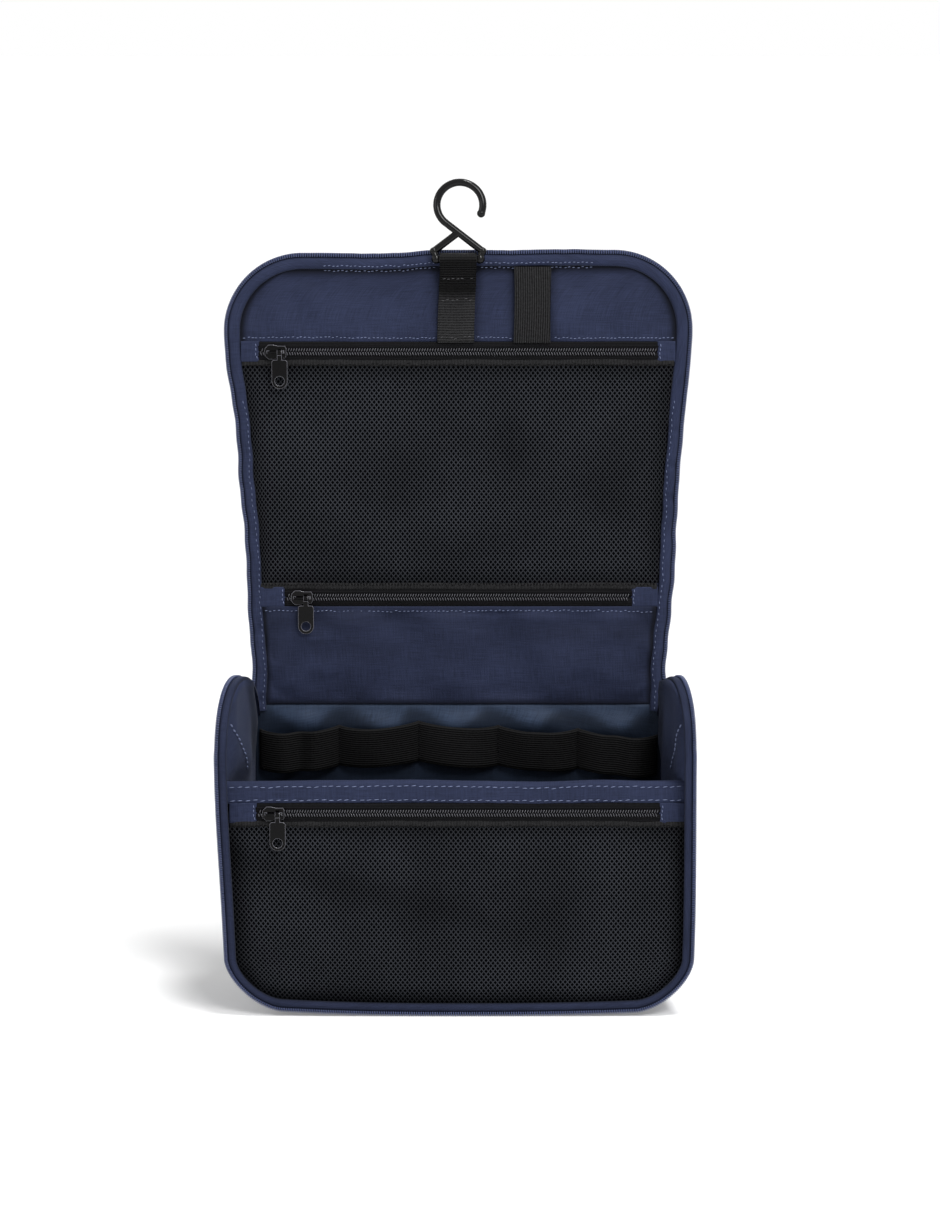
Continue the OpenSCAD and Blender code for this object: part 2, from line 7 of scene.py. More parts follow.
import bpy
import numpy as np
from mathutils import Vector
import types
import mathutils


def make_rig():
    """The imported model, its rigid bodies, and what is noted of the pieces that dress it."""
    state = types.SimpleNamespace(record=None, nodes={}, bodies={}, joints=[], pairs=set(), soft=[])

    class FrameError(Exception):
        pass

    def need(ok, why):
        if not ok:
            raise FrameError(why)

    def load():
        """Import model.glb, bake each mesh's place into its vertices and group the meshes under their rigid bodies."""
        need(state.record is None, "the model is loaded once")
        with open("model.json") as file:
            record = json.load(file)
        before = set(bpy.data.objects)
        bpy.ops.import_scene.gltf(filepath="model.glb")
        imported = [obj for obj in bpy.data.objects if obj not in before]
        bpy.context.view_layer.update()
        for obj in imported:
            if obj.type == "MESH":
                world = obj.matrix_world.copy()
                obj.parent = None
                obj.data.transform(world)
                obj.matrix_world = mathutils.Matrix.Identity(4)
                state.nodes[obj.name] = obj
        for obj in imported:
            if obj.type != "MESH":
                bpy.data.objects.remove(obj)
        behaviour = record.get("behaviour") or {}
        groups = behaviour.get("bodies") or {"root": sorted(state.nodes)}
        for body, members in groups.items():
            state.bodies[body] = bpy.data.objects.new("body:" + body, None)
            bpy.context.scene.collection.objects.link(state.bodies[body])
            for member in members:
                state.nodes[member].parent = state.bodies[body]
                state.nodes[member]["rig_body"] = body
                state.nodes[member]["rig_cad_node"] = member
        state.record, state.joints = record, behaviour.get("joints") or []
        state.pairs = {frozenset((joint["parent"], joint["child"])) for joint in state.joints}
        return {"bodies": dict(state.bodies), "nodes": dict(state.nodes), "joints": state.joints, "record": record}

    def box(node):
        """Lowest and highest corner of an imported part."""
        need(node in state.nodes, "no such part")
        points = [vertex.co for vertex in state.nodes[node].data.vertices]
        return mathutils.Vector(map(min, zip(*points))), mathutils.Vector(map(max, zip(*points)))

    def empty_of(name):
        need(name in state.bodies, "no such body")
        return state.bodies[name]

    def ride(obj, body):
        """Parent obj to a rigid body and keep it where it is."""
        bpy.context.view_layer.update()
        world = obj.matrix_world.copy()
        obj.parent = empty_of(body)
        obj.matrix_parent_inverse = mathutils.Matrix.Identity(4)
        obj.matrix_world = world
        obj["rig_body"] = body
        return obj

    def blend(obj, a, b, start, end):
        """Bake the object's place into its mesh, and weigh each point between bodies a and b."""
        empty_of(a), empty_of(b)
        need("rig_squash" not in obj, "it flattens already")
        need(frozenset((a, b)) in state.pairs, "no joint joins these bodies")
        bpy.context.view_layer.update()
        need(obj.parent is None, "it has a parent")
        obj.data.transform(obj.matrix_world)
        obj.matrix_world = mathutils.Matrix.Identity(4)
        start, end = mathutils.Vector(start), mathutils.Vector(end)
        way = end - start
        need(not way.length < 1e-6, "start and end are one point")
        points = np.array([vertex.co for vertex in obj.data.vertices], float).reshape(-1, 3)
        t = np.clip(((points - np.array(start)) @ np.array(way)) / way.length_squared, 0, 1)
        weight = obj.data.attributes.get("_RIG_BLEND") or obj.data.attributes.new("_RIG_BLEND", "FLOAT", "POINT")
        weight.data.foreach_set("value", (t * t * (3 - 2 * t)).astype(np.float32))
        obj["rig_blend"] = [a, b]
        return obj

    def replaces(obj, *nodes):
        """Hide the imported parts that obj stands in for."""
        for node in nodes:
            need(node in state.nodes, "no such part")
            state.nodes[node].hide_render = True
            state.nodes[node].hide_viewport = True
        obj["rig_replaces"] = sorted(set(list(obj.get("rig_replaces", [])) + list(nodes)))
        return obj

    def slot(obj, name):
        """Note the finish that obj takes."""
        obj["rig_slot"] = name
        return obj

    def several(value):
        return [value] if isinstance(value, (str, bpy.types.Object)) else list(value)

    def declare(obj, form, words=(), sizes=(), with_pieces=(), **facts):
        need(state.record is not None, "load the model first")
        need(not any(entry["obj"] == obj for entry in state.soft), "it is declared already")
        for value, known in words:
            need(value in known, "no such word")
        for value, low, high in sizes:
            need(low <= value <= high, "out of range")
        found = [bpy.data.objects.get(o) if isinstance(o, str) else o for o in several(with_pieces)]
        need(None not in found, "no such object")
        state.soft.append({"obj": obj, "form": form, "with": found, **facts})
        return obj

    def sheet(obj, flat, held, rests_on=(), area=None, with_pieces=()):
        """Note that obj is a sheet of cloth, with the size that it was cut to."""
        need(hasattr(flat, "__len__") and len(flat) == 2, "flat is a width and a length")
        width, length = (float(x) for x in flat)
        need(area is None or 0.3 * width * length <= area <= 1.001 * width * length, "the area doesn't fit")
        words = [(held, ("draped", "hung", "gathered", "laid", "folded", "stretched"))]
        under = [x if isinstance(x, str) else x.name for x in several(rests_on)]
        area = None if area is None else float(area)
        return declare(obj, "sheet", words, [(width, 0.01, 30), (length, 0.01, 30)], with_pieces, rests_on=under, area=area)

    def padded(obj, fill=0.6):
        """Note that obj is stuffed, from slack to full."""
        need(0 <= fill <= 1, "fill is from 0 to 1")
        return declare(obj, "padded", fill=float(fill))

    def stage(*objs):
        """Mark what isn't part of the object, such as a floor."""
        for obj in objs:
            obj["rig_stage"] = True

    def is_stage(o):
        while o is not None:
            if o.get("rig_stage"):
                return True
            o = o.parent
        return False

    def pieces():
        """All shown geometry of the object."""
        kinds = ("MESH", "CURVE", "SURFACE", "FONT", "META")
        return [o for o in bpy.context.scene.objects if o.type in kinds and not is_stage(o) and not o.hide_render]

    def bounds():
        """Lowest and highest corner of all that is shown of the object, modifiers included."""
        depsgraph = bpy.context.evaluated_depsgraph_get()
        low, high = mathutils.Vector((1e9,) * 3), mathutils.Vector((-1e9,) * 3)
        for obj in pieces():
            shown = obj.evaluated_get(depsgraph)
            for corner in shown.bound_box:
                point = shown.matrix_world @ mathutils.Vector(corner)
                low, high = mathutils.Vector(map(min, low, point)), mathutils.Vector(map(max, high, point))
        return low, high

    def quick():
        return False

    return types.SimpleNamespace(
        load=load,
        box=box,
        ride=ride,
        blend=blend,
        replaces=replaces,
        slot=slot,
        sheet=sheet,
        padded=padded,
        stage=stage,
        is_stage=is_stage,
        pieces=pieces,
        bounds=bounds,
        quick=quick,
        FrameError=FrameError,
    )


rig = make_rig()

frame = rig.load()
CAD_BOX = [list(corner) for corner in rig.bounds()]

bl_info = {
    "name": "Hanging toiletry bag",
    "version": (1, 0, 0),
    "blender": (4, 5, 0),
    "location": "View3D > Sidebar > Bag",
    "description": "Cloth, nets, zips and stitching of a hanging toiletry bag on its CAD frame",
    "category": "Object",
}

# Lengths in this file are millimetres in the frame of the CAD model, unless a property says otherwise.
MM = 0.001
FRONT, REAR = np.array((0.0, -1.0, 0.0)), np.array((0.0, 1.0, 0.0))


def node_box(node):
    """Lowest and highest corner of a CAD node, in millimetres."""
    low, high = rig.box(node)
    return np.array(low) / MM, np.array(high) / MM


# Places and sizes that the frame gives. Depths on the lid are counted from LID_Y, the inner face of its pad.
HINGE = {j["name"]: np.array(j["pos_m"]) / MM for j in frame["joints"] if j.get("pos_m")}
FOLD_Z = HINGE["lid_fold"][2]
BEND_1, BEND_2 = HINGE["lid_bend_lower"][2], HINGE["lid_bend_upper"][2]
FOLD_Y, BACK_Y = node_box("back_panel")[0][1], node_box("back_panel")[1][1]
FOLD_HALF = node_box("back_panel")[1][0]
LID_Y = round(FOLD_Y, 3)
PAD_Y, PAD_HALF = (FOLD_Y + BACK_Y) / 2, (BACK_Y - FOLD_Y) / 2
RIM_LOW, RIM_HIGH = node_box("main_zip_coil")
TUB_HALF = node_box("main_zip_tape")[1][0]
TAPE_Y = node_box("main_zip_tape")[0][1]
DOME_R = (RIM_HIGH[1] - RIM_LOW[1]) / 2
DOME_Y, DOME_Z = RIM_LOW[1] + DOME_R, RIM_HIGH[2] - DOME_R
TAPE_R = DOME_Y - TAPE_Y
GUSSET_FRONT, GUSSET_REAR = node_box("left_gusset")[0][1], node_box("left_gusset")[1][1]
FRONT_LOW, FRONT_HIGH = node_box("front_panel")
MESH_LOW, MESH_HIGH = node_box("front_mesh")
LID_TOP = node_box("lid_upper_shell")[1][2]
FLARE = (TUB_HALF - FOLD_HALF) / (FOLD_Y - RIM_LOW[1])
CUT_1, CUT_2 = (FOLD_Z + BEND_1) / 2, (BEND_1 + BEND_2) / 2

# Round corners of the tub outside and inside its wall, and of the lid
CORNER_R, INNER_R, LID_CORNER_R = 29.0, 26.7, 42.0
LID_CORNER_Z = LID_TOP - LID_CORNER_R
# Height at which the lid reaches its full width, and the width of the rim band round its panels
LID_WIDE_Z, RIM_W = 355.0, 8.4
# The lining runs up past the fold to here, where the pocket panel begins
PANEL_Z = FOLD_Z + 3.6
# Where the lid's net begins to belly out and ends, and where its backing ends under the top panel
NET_FOOT, NET_TOP, BACKING_TOP = 219.0, 342.0, 352.0
# The rim puckers below one height and has its side stitches below another
PUCKER_TOP, SIDE_STITCH_TOP = 372.0, 322.0
# Width of one elastic loop, which the folds of the lining above follow, and the height of the band
LOOP_W, LOOP_TALL = 43.3, 21.5
# The waves of the front hem, which its stitches share: seed, shortest and longest wave
HEM_SWAY, HEM_PUCKER = (31, 40, 120), (32, 7, 16)
# Lift of the soft base's corners and draw of the lid's sides, left and right, and droop of the lid's top
CORNER_LIFT, LID_DRAW, LID_DROOP = (4.6, 3.4), (2.6, 1.0), 1.6
# How far the webbing hangs to one side at its foot, and over what height
HANGER_SWAY, HANGER_DROP = -1.3, 42.0
# How full the pads are, the flat width of the main zip's tapes in metres, and how loose cloth is settled
PAD_FILL, TAPE_W = 0.45, 0.0105
SETTLE_FRAMES, SETTLE_PRESSURE = 24, 0.6
SHEEN_TINT = (0.75, 0.82, 1, 1)

# A zone of the lid follows the two bodies of one joint: its heights, and the heights between which it bends
Zone = collections.namedtuple("Zone", "name below above low high start end")
LOWER = Zone("lower", "tub", "lid_lower", FOLD_Z, CUT_1, FOLD_Z, FOLD_Z + 14)
MIDDLE = Zone("middle", "lid_lower", "lid_middle", CUT_1, CUT_2, BEND_1 - 16, BEND_1 + 16)
UPPER = Zone("upper", "lid_middle", "lid_upper", CUT_2, LID_TOP, BEND_2 - 26, BEND_2 + 26)
ZONES = (LOWER, MIDDLE, UPPER)

# How a sheet buckles: which points are sewn, how much too large it is cut and how far a point may move
Loose = collections.namedtuple("Loose", "held slack most")


def tone(red, green, blue):
    """Linear colour of an sRGB one with values up to 255."""
    return tuple(c / 3294.6 if c <= 10 else ((c / 255 + 0.055) / 1.055) ** 2.4 for c in (red, green, blue))


class BagSizes(bpy.types.PropertyGroup):
    """Sizes of the trimmings that a user would change."""

    cell_w: bpy.props.FloatProperty(
        name="Net cell width", description="Width of a diamond of the nets", default=0.0025, unit="LENGTH")
    cell_h: bpy.props.FloatProperty(
        name="Net cell height", description="Height of a diamond of the nets", default=0.0031, unit="LENGTH")
    strand: bpy.props.FloatProperty(
        name="Net strand", description="Width of a strand of the nets", default=0.00056, unit="LENGTH")
    tooth_pitch: bpy.props.FloatProperty(
        name="Tooth pitch", description="Distance between main zip teeth", default=0.00125, unit="LENGTH")
    link_pitch: bpy.props.FloatProperty(
        name="Coil pitch", description="Distance between pocket zip links", default=0.0014, unit="LENGTH")
    stitch_len: bpy.props.FloatProperty(
        name="Stitch length", description="Length of a stitch", default=0.0027, unit="LENGTH")
    stitch_pitch: bpy.props.FloatProperty(
        name="Stitch pitch", description="Distance between stitches", default=0.0039, unit="LENGTH")
    thread: bpy.props.FloatProperty(
        name="Thread", description="Thickness of the sewing thread", default=0.00044, unit="LENGTH")


class BagColours(bpy.types.PropertyGroup):
    """Colours of the cloths and trimmings."""

    navy: bpy.props.FloatVectorProperty(
        name="Navy cloth", description="Outer cloth", subtype="COLOR", default=tone(40, 46, 69))
    lining: bpy.props.FloatVectorProperty(
        name="Lining", description="Cloth inside the tub", subtype="COLOR", default=tone(42, 53, 72))
    dark: bpy.props.FloatVectorProperty(
        name="Pocket backing", description="Cloth behind the nets", subtype="COLOR", default=tone(4, 5, 8))
    net: bpy.props.FloatVectorProperty(
        name="Net", description="Strands of the nets", subtype="COLOR", default=tone(45, 47, 52))
    band: bpy.props.FloatVectorProperty(
        name="Elastic", description="Elastic and webbing", subtype="COLOR", default=tone(30, 30, 31))
    tape: bpy.props.FloatVectorProperty(
        name="Zip tape", description="Pocket zip tapes and coils", subtype="COLOR", default=tone(15, 15, 17))
    thread: bpy.props.FloatVectorProperty(
        name="Thread", description="Topstitching", subtype="COLOR", default=tone(104, 114, 146))
    metal: bpy.props.FloatVectorProperty(
        name="Sliders", description="Enamel of sliders and pulls", subtype="COLOR", default=tone(6, 6, 7))
    gloss: bpy.props.FloatVectorProperty(
        name="Hook", description="Moulded hook", subtype="COLOR", default=tone(6, 6, 7))


class Value:
    """A socket of a node tree, so that shader maths reads as an expression."""

    def __init__(self, nodes, socket):
        self.nodes, self.socket = nodes, socket

    def also(self, name):
        """Another output of the same node."""
        return Value(self.nodes, self.socket.node.outputs[name])

    def maths(self, operation, *inputs):
        return self.nodes.node("Math", {"operation": operation}, dict(enumerate(inputs)))

    def __add__(self, other):
        return self.maths("ADD", self, other)

    __radd__ = __add__

    def __mul__(self, other):
        return self.maths("MULTIPLY", self, other)

    __rmul__ = __mul__

    def __sub__(self, other):
        return self.maths("SUBTRACT", self, other)

    def __rsub__(self, other):
        return self.maths("SUBTRACT", other, self)

    def __abs__(self):
        return self.maths("ABSOLUTE", self)

    def wave(self, length):
        """A sine of this length over the value."""
        return self.maths("SINE", self * (2 * math.pi / length))

    def clipped(self):
        """The value kept between 0 and 1."""
        return self.nodes.node("Clamp", {}, {"Value": self})


class Nodes:
    """A node tree under construction."""

    def __init__(self, tree):
        self.tree = tree

    def node(self, kind, settings, inputs, out=0):
        """Adds a node with its settings and the values or links of its sockets, and gives one output."""
        made = self.tree.nodes.new("ShaderNode" + kind)
        for key, value in settings.items():
            setattr(made, key, value)
        for key, value in inputs.items():
            self.join(made.inputs[key], value)
        return Value(self, made.outputs[out])

    def join(self, socket, value):
        """Links a value to a socket, or sets a plain one there."""
        if isinstance(value, Value):
            self.tree.links.new(value.socket, socket)
        else:
            socket.default_value = value

    def seen(self):
        """1 for the rays that show a background: straight from the camera, mirrored or through glass."""
        path = self.node("LightPath", {}, {}, "Is Camera Ray")
        return (path + path.also("Is Glossy Ray") + path.also("Is Transmission Ray")).clipped()


class Finish(Nodes):
    """A material under construction, with its shader and the coordinates that patterns read."""

    def __init__(self, name, even):
        """Starts a material with the shader's sockets that are the same all over."""
        self.material = bpy.data.materials.new(name)
        self.material.use_nodes = True
        super().__init__(self.material.node_tree)
        self.shader = self.tree.nodes["Principled BSDF"]
        for socket, value in even.items():
            self.join(self.shader.inputs[socket], value)

    def cloth_map(self):
        """The cloth's own map, in metres."""
        return self.node("UVMap", {"uv_map": "cloth"}, {})

    def cloth_place(self):
        """The two directions of the cloth's own map."""
        split = self.node("SeparateXYZ", {}, {0: self.cloth_map()})
        return split, split.also("Y")

    def space(self):
        """Object coordinates."""
        return self.node("TexCoord", {}, {}, "Object")

    def noise(self, vector, scale, detail):
        return self.node("TexNoise", {}, {"Vector": vector, "Scale": scale, "Detail": detail})

    def yarn(self, scale):
        """Noise drawn out along one direction of the cloth."""
        return self.noise(self.node("Mapping", {}, {"Vector": self.cloth_map(), "Scale": scale}), 1, 2)

    def mixed(self, mask, low, high):
        """A colour between two others."""
        return self.node("Mix", {"data_type": "RGBA"}, {"Factor": mask, 6: low, 7: high}, 2)

    def shade(self, colour, dark, light, mask):
        """Colour between a darker and a lighter tone of itself."""
        low, high = ((*(min(1, c * f) for c in colour), 1) for f in (dark, light))
        return self.mixed(mask, low, high)

    def sunk(self, shaded, colour, least):
        """A colour darkened by painted shade towards a share of itself, as much as the seam attribute gives each
        point.
        """
        seam = self.node("Attribute", {"attribute_name": "seam"}, {}, "Fac")
        return self.mixed(seam.clipped(), shaded, (*times(colour, least), 1))

    def done(self, colour, roughness=None, height=None, strength=0.0, distance=0.0):
        """Joins what varies over the surface to the shader, a height as a bump, and gives the material."""
        self.join(self.shader.inputs["Base Color"], colour)
        if roughness:
            self.join(self.shader.inputs["Roughness"], roughness)
        if height:
            bump = self.node("Bump", {}, {"Height": height, "Strength": strength, "Distance": distance})
            self.join(self.shader.inputs["Normal"], bump)
        return self.material


def times(colour, factor):
    """A colour made lighter or darker."""
    return tuple(c * factor for c in colour)


def woven(name, colour, thread, contrast, rough, bump, sheen=0.0, shine=0.09):
    """Plain-woven cloth: crossing threads, uneven yarn along both directions and a soft mottle."""
    even = {"Sheen Weight": sheen, "Sheen Roughness": 0.45, "Sheen Tint": SHEEN_TINT}
    f = Finish(name, {**even, "Specular IOR Level": shine})
    u, v = f.cloth_place()
    yarn = f.yarn((90, 1900, 1)) + f.yarn((1900, 90, 1)) - 1
    mottle = f.noise(f.space(), 28, 4)
    threads = u.wave(thread) * v.wave(thread)
    mask = 0.5 + yarn * contrast + threads * (0.18 * contrast) + (mottle - 0.5) * 0.7
    # Painted shade: the cloth darkens towards 0.16 of its colour where the seam attribute says so.
    shaded = f.sunk(f.shade(colour, 0.55, 1.45, mask.clipped()), colour, 0.16)
    roughness = rough - (mottle - 0.5) * 0.25 + yarn * 0.1
    return f.done(shaded, roughness, threads * 0.5 + yarn * 1.2, bump, 0.0003)


def ribbed(name, colour, rib, across, rough, bump, worn=None, roll=None, edge=None, shine=0.06):
    """Elastic or webbing with ribs along one direction and fine yarn across them.

    It has painted light past a place along it, where it tilts towards the lamps, and painted highlights over a roll
    and along an edge.
    """
    f = Finish(name, {"Specular IOR Level": shine})
    u, v = f.cloth_place()
    ribs = (v if across else u).wave(rib)
    yarn = (u if across else v).wave(rib * 0.6)
    fuzz = f.noise(f.space(), 900, 3)
    mask = 0.5 + ribs * 0.4 + yarn * 0.1 + (fuzz - 0.5) * 0.9
    # Painted light: greyer with stronger ribs past this place, and a painted highlight over the roll.
    if worn:
        grey = ((v - worn) * 150).clipped()
        over = (1 - abs(v - roll) * 420).clipped()
        mask = mask * (grey * 1.3 + 0.2) + grey * 0.26 - 0.08 + over * 0.5
    # Painted highlight along one edge.
    if edge:
        mask = mask + ((v - edge) * 3000).clipped()
    shaded = f.shade(colour, 0.15, 1.85, mask.clipped())
    return f.done(shaded, rough + (fuzz - 0.5) * 0.3, ribs + yarn * 0.4 + fuzz * 0.6, bump, 0.0004)


def grained(name, colour, scale, uneven, rough, bump, broad=90, shine=0.5):
    """Moulded, painted or spun surface with a fine grain and broader patches of wear."""
    f = Finish(name, {"Specular IOR Level": shine})
    grain = f.noise(f.space(), scale, 4)
    wear = f.noise(f.space(), broad, 3)
    mask = (grain - 0.5) * uneven + (wear - 0.5) * uneven + 0.5
    # Painted shade: the nets darken towards 0.2 of their colour where their seam attribute says so.
    shaded = f.sunk(f.shade(colour, 0.6, 1.4, mask.clipped()), colour, 0.2)
    return f.done(shaded, (grain - 0.5) * 0.2 + (wear - 0.5) * 0.15 + rough, grain, bump, 0.0002)


FINISHES = {}


def make_finishes(colours):
    """Materials of the bag, by the name of what they cover."""
    navy, band, tape, metal = colours.navy, colours.band, colours.tape, colours.metal
    lining, dark = colours.lining, colours.dark
    FINISHES.update(
        navy=woven("navy_cloth", navy, thread=0.00062, contrast=1.0, rough=0.66, bump=0.4, sheen=0.06),
        lining=woven("lining_cloth", lining, thread=0.0005, contrast=1.0, rough=0.5, bump=0.2, sheen=0.05),
        dark=woven("pocket_backing", dark, thread=0.0006, contrast=1.2, rough=0.7, bump=0.3, shine=0.02),
        tape=ribbed("zip_tape", tape, rib=0.0009, across=True, rough=0.7, bump=0.3),
        binding=ribbed("net_binding", times(band, 1.3), rib=0.0008, across=False, rough=0.8, bump=0.3),
        # The elastic has a painted highlight along its upper edge.
        elastic=ribbed("elastic_band", times(band, 0.5), rib=0.0012, across=True, rough=0.8, bump=0.6,
                       edge=0.0209),
        strap=ribbed("elastic_strap_ribs", times(band, 1.4), rib=0.0012, across=False, rough=0.8, bump=0.6),
        # The webbing has painted light on its lower part and a painted highlight where it rolls over the hook's bar.
        webbing=ribbed("webbing_ribs", times(band, 1.25), rib=0.0014, across=True, rough=0.45, bump=0.9,
                       worn=0.072, roll=0.0514, shine=0.09),
        net=grained("net_strands", colours.net, 1500, 1.5, 0.6, 0.2, broad=22, shine=0.08),
        # Painted highlight: the coil links are the tape's black made 13 times lighter, for the glints on them.
        coil=grained("coil_links", times(tape, 13), 800, 0.4, 0.22, 0.05),
        # Painted highlight: the teeth are the navy made 2.4 times lighter, for the glints on them.
        teeth=grained("navy_teeth", times(navy, 2.4), 800, 0.4, 0.3, 0.05, shine=0.35),
        thread=grained("pale_thread", colours.thread, 2500, 0.8, 0.6, 0.4),
        black_thread=grained("black_thread", times(tape, 0.8), 2500, 0.6, 0.6, 0.4, shine=0.05),
        grey_thread=grained("grey_thread", times(band, 6), 2500, 0.6, 0.6, 0.4, shine=0.1),
        metal=grained("slider_enamel", metal, 500, 0.4, 0.16, 0.02, shine=0.1),
        # Painted highlight: a light copy of the enamel for the bevelled edges of sliders and pulls.
        worn=grained("worn_enamel", times(metal, 60), 500, 0.4, 0.2, 0.02),
        gloss=grained("hook_moulding", colours.gloss, 300, 0.3, 0.1, 0.01, shine=0.2),
    )


def half_w(y):
    """Outer half width of the tub's walls at a depth."""
    return FOLD_HALF + (FOLD_Y - y) * FLARE


def lid_half(z):
    """Outer half width of the lid at a height."""
    z = np.asarray(z, float)
    width = FOLD_HALF + (TUB_HALF - FOLD_HALF) * np.clip((z - FOLD_Z) / (LID_WIDE_Z - FOLD_Z), 0, 1)
    up = np.clip(z - LID_CORNER_Z, 0, LID_CORNER_R)
    return width - LID_CORNER_R + np.sqrt(LID_CORNER_R ** 2 - up ** 2)


def inner_half(z):
    """Half width of the lid within its rim band."""
    return lid_half(z) - RIM_W


def tub_half(z, half, radius, bottom):
    """Half width at a height of an outline with round lower corners."""
    down = np.clip(radius - (np.asarray(z, float) - bottom), 0, radius)
    return half - radius + np.sqrt(radius ** 2 - down ** 2)


def ease(x):
    """A smooth step from 0 to 1."""
    x = np.clip(x, 0, 1)
    return x * x * (3 - 2 * x)


def rounded(gap, radius):
    """Quarter round from 0 at an edge to 1 at a distance of the radius from it."""
    return np.sqrt(np.clip(1 - (1 - np.clip(gap / radius, 0, 1)) ** 2, 0, 1))


def ripple(a, b, seed, short, long, count=7):
    """Soft waves of about -1 to 1 over two coordinates, between two wavelengths."""
    dice = np.random.default_rng(seed)
    total = 0
    for _ in range(count):
        k = 2 * math.pi / dice.uniform(short, long)
        turn = dice.uniform(0, math.pi)
        phase = dice.uniform(0, 2 * math.pi)
        total = total + np.sin(k * (a * math.cos(turn) + b * math.sin(turn)) + phase)
    return total / math.sqrt(count)


def spread(low, high, count, ends=False):
    """Even steps, or steps that are finer towards both ends."""
    t = np.linspace(-1, 1, count)
    return low + (high - low) * ((np.sin(t * math.pi / 2) if ends else t) + 1) / 2


def xz_sheet(half, zs, columns, depth):
    """Points of a sheet in X and Z between -half(z) and half(z), with y = depth(x, z, u, v)."""
    u = spread(-1, 1, columns, True)
    z = np.repeat(np.asarray(zs, float)[:, None], columns, 1)
    x = u[None] * np.asarray(half(zs), float)[:, None]
    v = (z - z.min()) / (z.max() - z.min())
    return np.stack([x, depth(x, z, np.broadcast_to(u, x.shape), v), z], -1)


def resampled(points, step):
    """The same line with even steps, and its ends kept. Columns after the third are carried along."""
    gaps = np.r_[0, np.cumsum(np.linalg.norm(np.diff(points[:, :3], axis=0), axis=1))]
    at = np.linspace(0, gaps[-1], max(2, int(round(gaps[-1] / step)) + 1))
    return np.stack([np.interp(at, gaps, points[:, k]) for k in range(points.shape[1])], 1)


def run_length(points):
    """Length of a line of points."""
    return float(np.linalg.norm(np.diff(points, axis=0), axis=1).sum())


def unit(vectors):
    """The same directions with a length of 1."""
    return vectors / np.linalg.norm(vectors, axis=1, keepdims=True)


def lid_runs(zone, step):
    """Lines along the lid's edge within a zone, on its pad's inner face, with inward directions."""
    zs = np.linspace(zone.low, min(zone.high, LID_CORNER_Z), 40)
    left = np.stack([-lid_half(zs), zs], 1)
    lines = [left, (left * (-1, 1))[::-1]]
    if zone.high > LID_CORNER_Z:
        turn = np.linspace(math.pi, math.pi / 2, 40)
        round_x = LID_CORNER_R - TUB_HALF + LID_CORNER_R * np.cos(turn)
        arc = np.stack([round_x, LID_CORNER_Z + LID_CORNER_R * np.sin(turn)], 1)
        lines = [np.concatenate([left, arc[1:], (arc * (-1, 1))[::-1], lines[1][1:]])]
    runs = []
    for line in lines:
        line = resampled(line, step)
        along = unit(np.gradient(line, axis=0))
        points = np.insert(line, 1, LID_Y, 1)
        inward = np.stack([along[:, 1], 0 * along[:, 0], -along[:, 0]], 1)
        runs.append((points, inward))
    return runs


def rim_run(step):
    """Line of the main zip over the left dome, round the front rim and over the right dome.

    It comes with the inward and the outward directions.
    """
    turn = np.linspace(math.radians(8), math.pi, 60)
    dome = np.zeros((60, 9))
    dome[:, 1], dome[:, 2] = DOME_Y + TAPE_R * np.cos(turn), DOME_Z + TAPE_R * np.sin(turn)
    dome[:, 0], dome[:, 3] = -half_w(dome[:, 1]), 1
    dome[:, 7], dome[:, 8] = np.cos(turn), np.sin(turn)
    side = np.zeros((40, 9))
    side[:, 0], side[:, 1], side[:, 2] = -TUB_HALF, TAPE_Y, np.linspace(DOME_Z, CORNER_R, 40)
    side[:, 3], side[:, 7] = 1, -1
    turn = np.linspace(math.pi, math.pi * 1.5, 30)
    corner = np.zeros((30, 9))
    corner[:, 0], corner[:, 1] = CORNER_R - TUB_HALF + CORNER_R * np.cos(turn), TAPE_Y
    corner[:, 2] = CORNER_R + CORNER_R * np.sin(turn)
    corner[:, 3], corner[:, 5], corner[:, 7] = -np.cos(turn), -np.sin(turn), -1
    half = np.concatenate([dome, side[1:], corner[1:]])
    mirrored = half * (-1, 1, 1, -1, 1, 1, -1, 1, 1)
    line = resampled(np.concatenate([half, mirrored[::-1]]), step)
    return line[:, :3], unit(line[:, 3:6]), line[:, 6:]


def swept(points, inward, outward, profile):
    """Grid of a profile of (inward, outward) distances along a line, which may change along it."""
    profile = np.asarray(profile, float)
    if profile.ndim == 2:
        profile = np.repeat(profile[None], len(points), 0)
    return points[:, None] + profile[..., :1] * inward[:, None] + profile[..., 1:] * outward[..., None, :]


def slackened(points):
    """Lid points with the small unevenness of a sewn edge, which fades towards the middle and the hook."""
    x, y, z = np.moveaxis(np.asarray(points, float), -1, 0)
    side, far = np.sign(x), np.abs(x)
    near = ease((far - lid_half(np.minimum(z, LID_CORNER_Z)) + 17) / 12)
    rise = ease((z - FOLD_Z) / 12) * ease((LID_WIDE_Z - 4 - z) / 40)
    sway = 0.5 * ripple(z, side * 40, 15, 40, 100) + 0.2 * ripple(z, side * 30, 16, 9, 18)
    across = ease((far - 14) / 16) * ease((82 - far) / 30)
    waves = 0.4 * ripple(x, 0, 17, 40, 90) + 0.12 * ripple(x, 3, 18, 9, 18)
    crest = ease((z - LID_TOP + 16) / 12) * across * waves
    drawn = np.where(side < 0, *LID_DRAW) * ease((z - FOLD_Z - 2) / 24) * ease((LID_WIDE_Z - 10 - z) / 50)
    droop = LID_DROOP * ease((-x - 12) / 20) * ease((z - LID_WIDE_Z + 15) / 40)
    return np.stack([x + side * near * (rise * sway - drawn), y, z + crest - droop], -1)


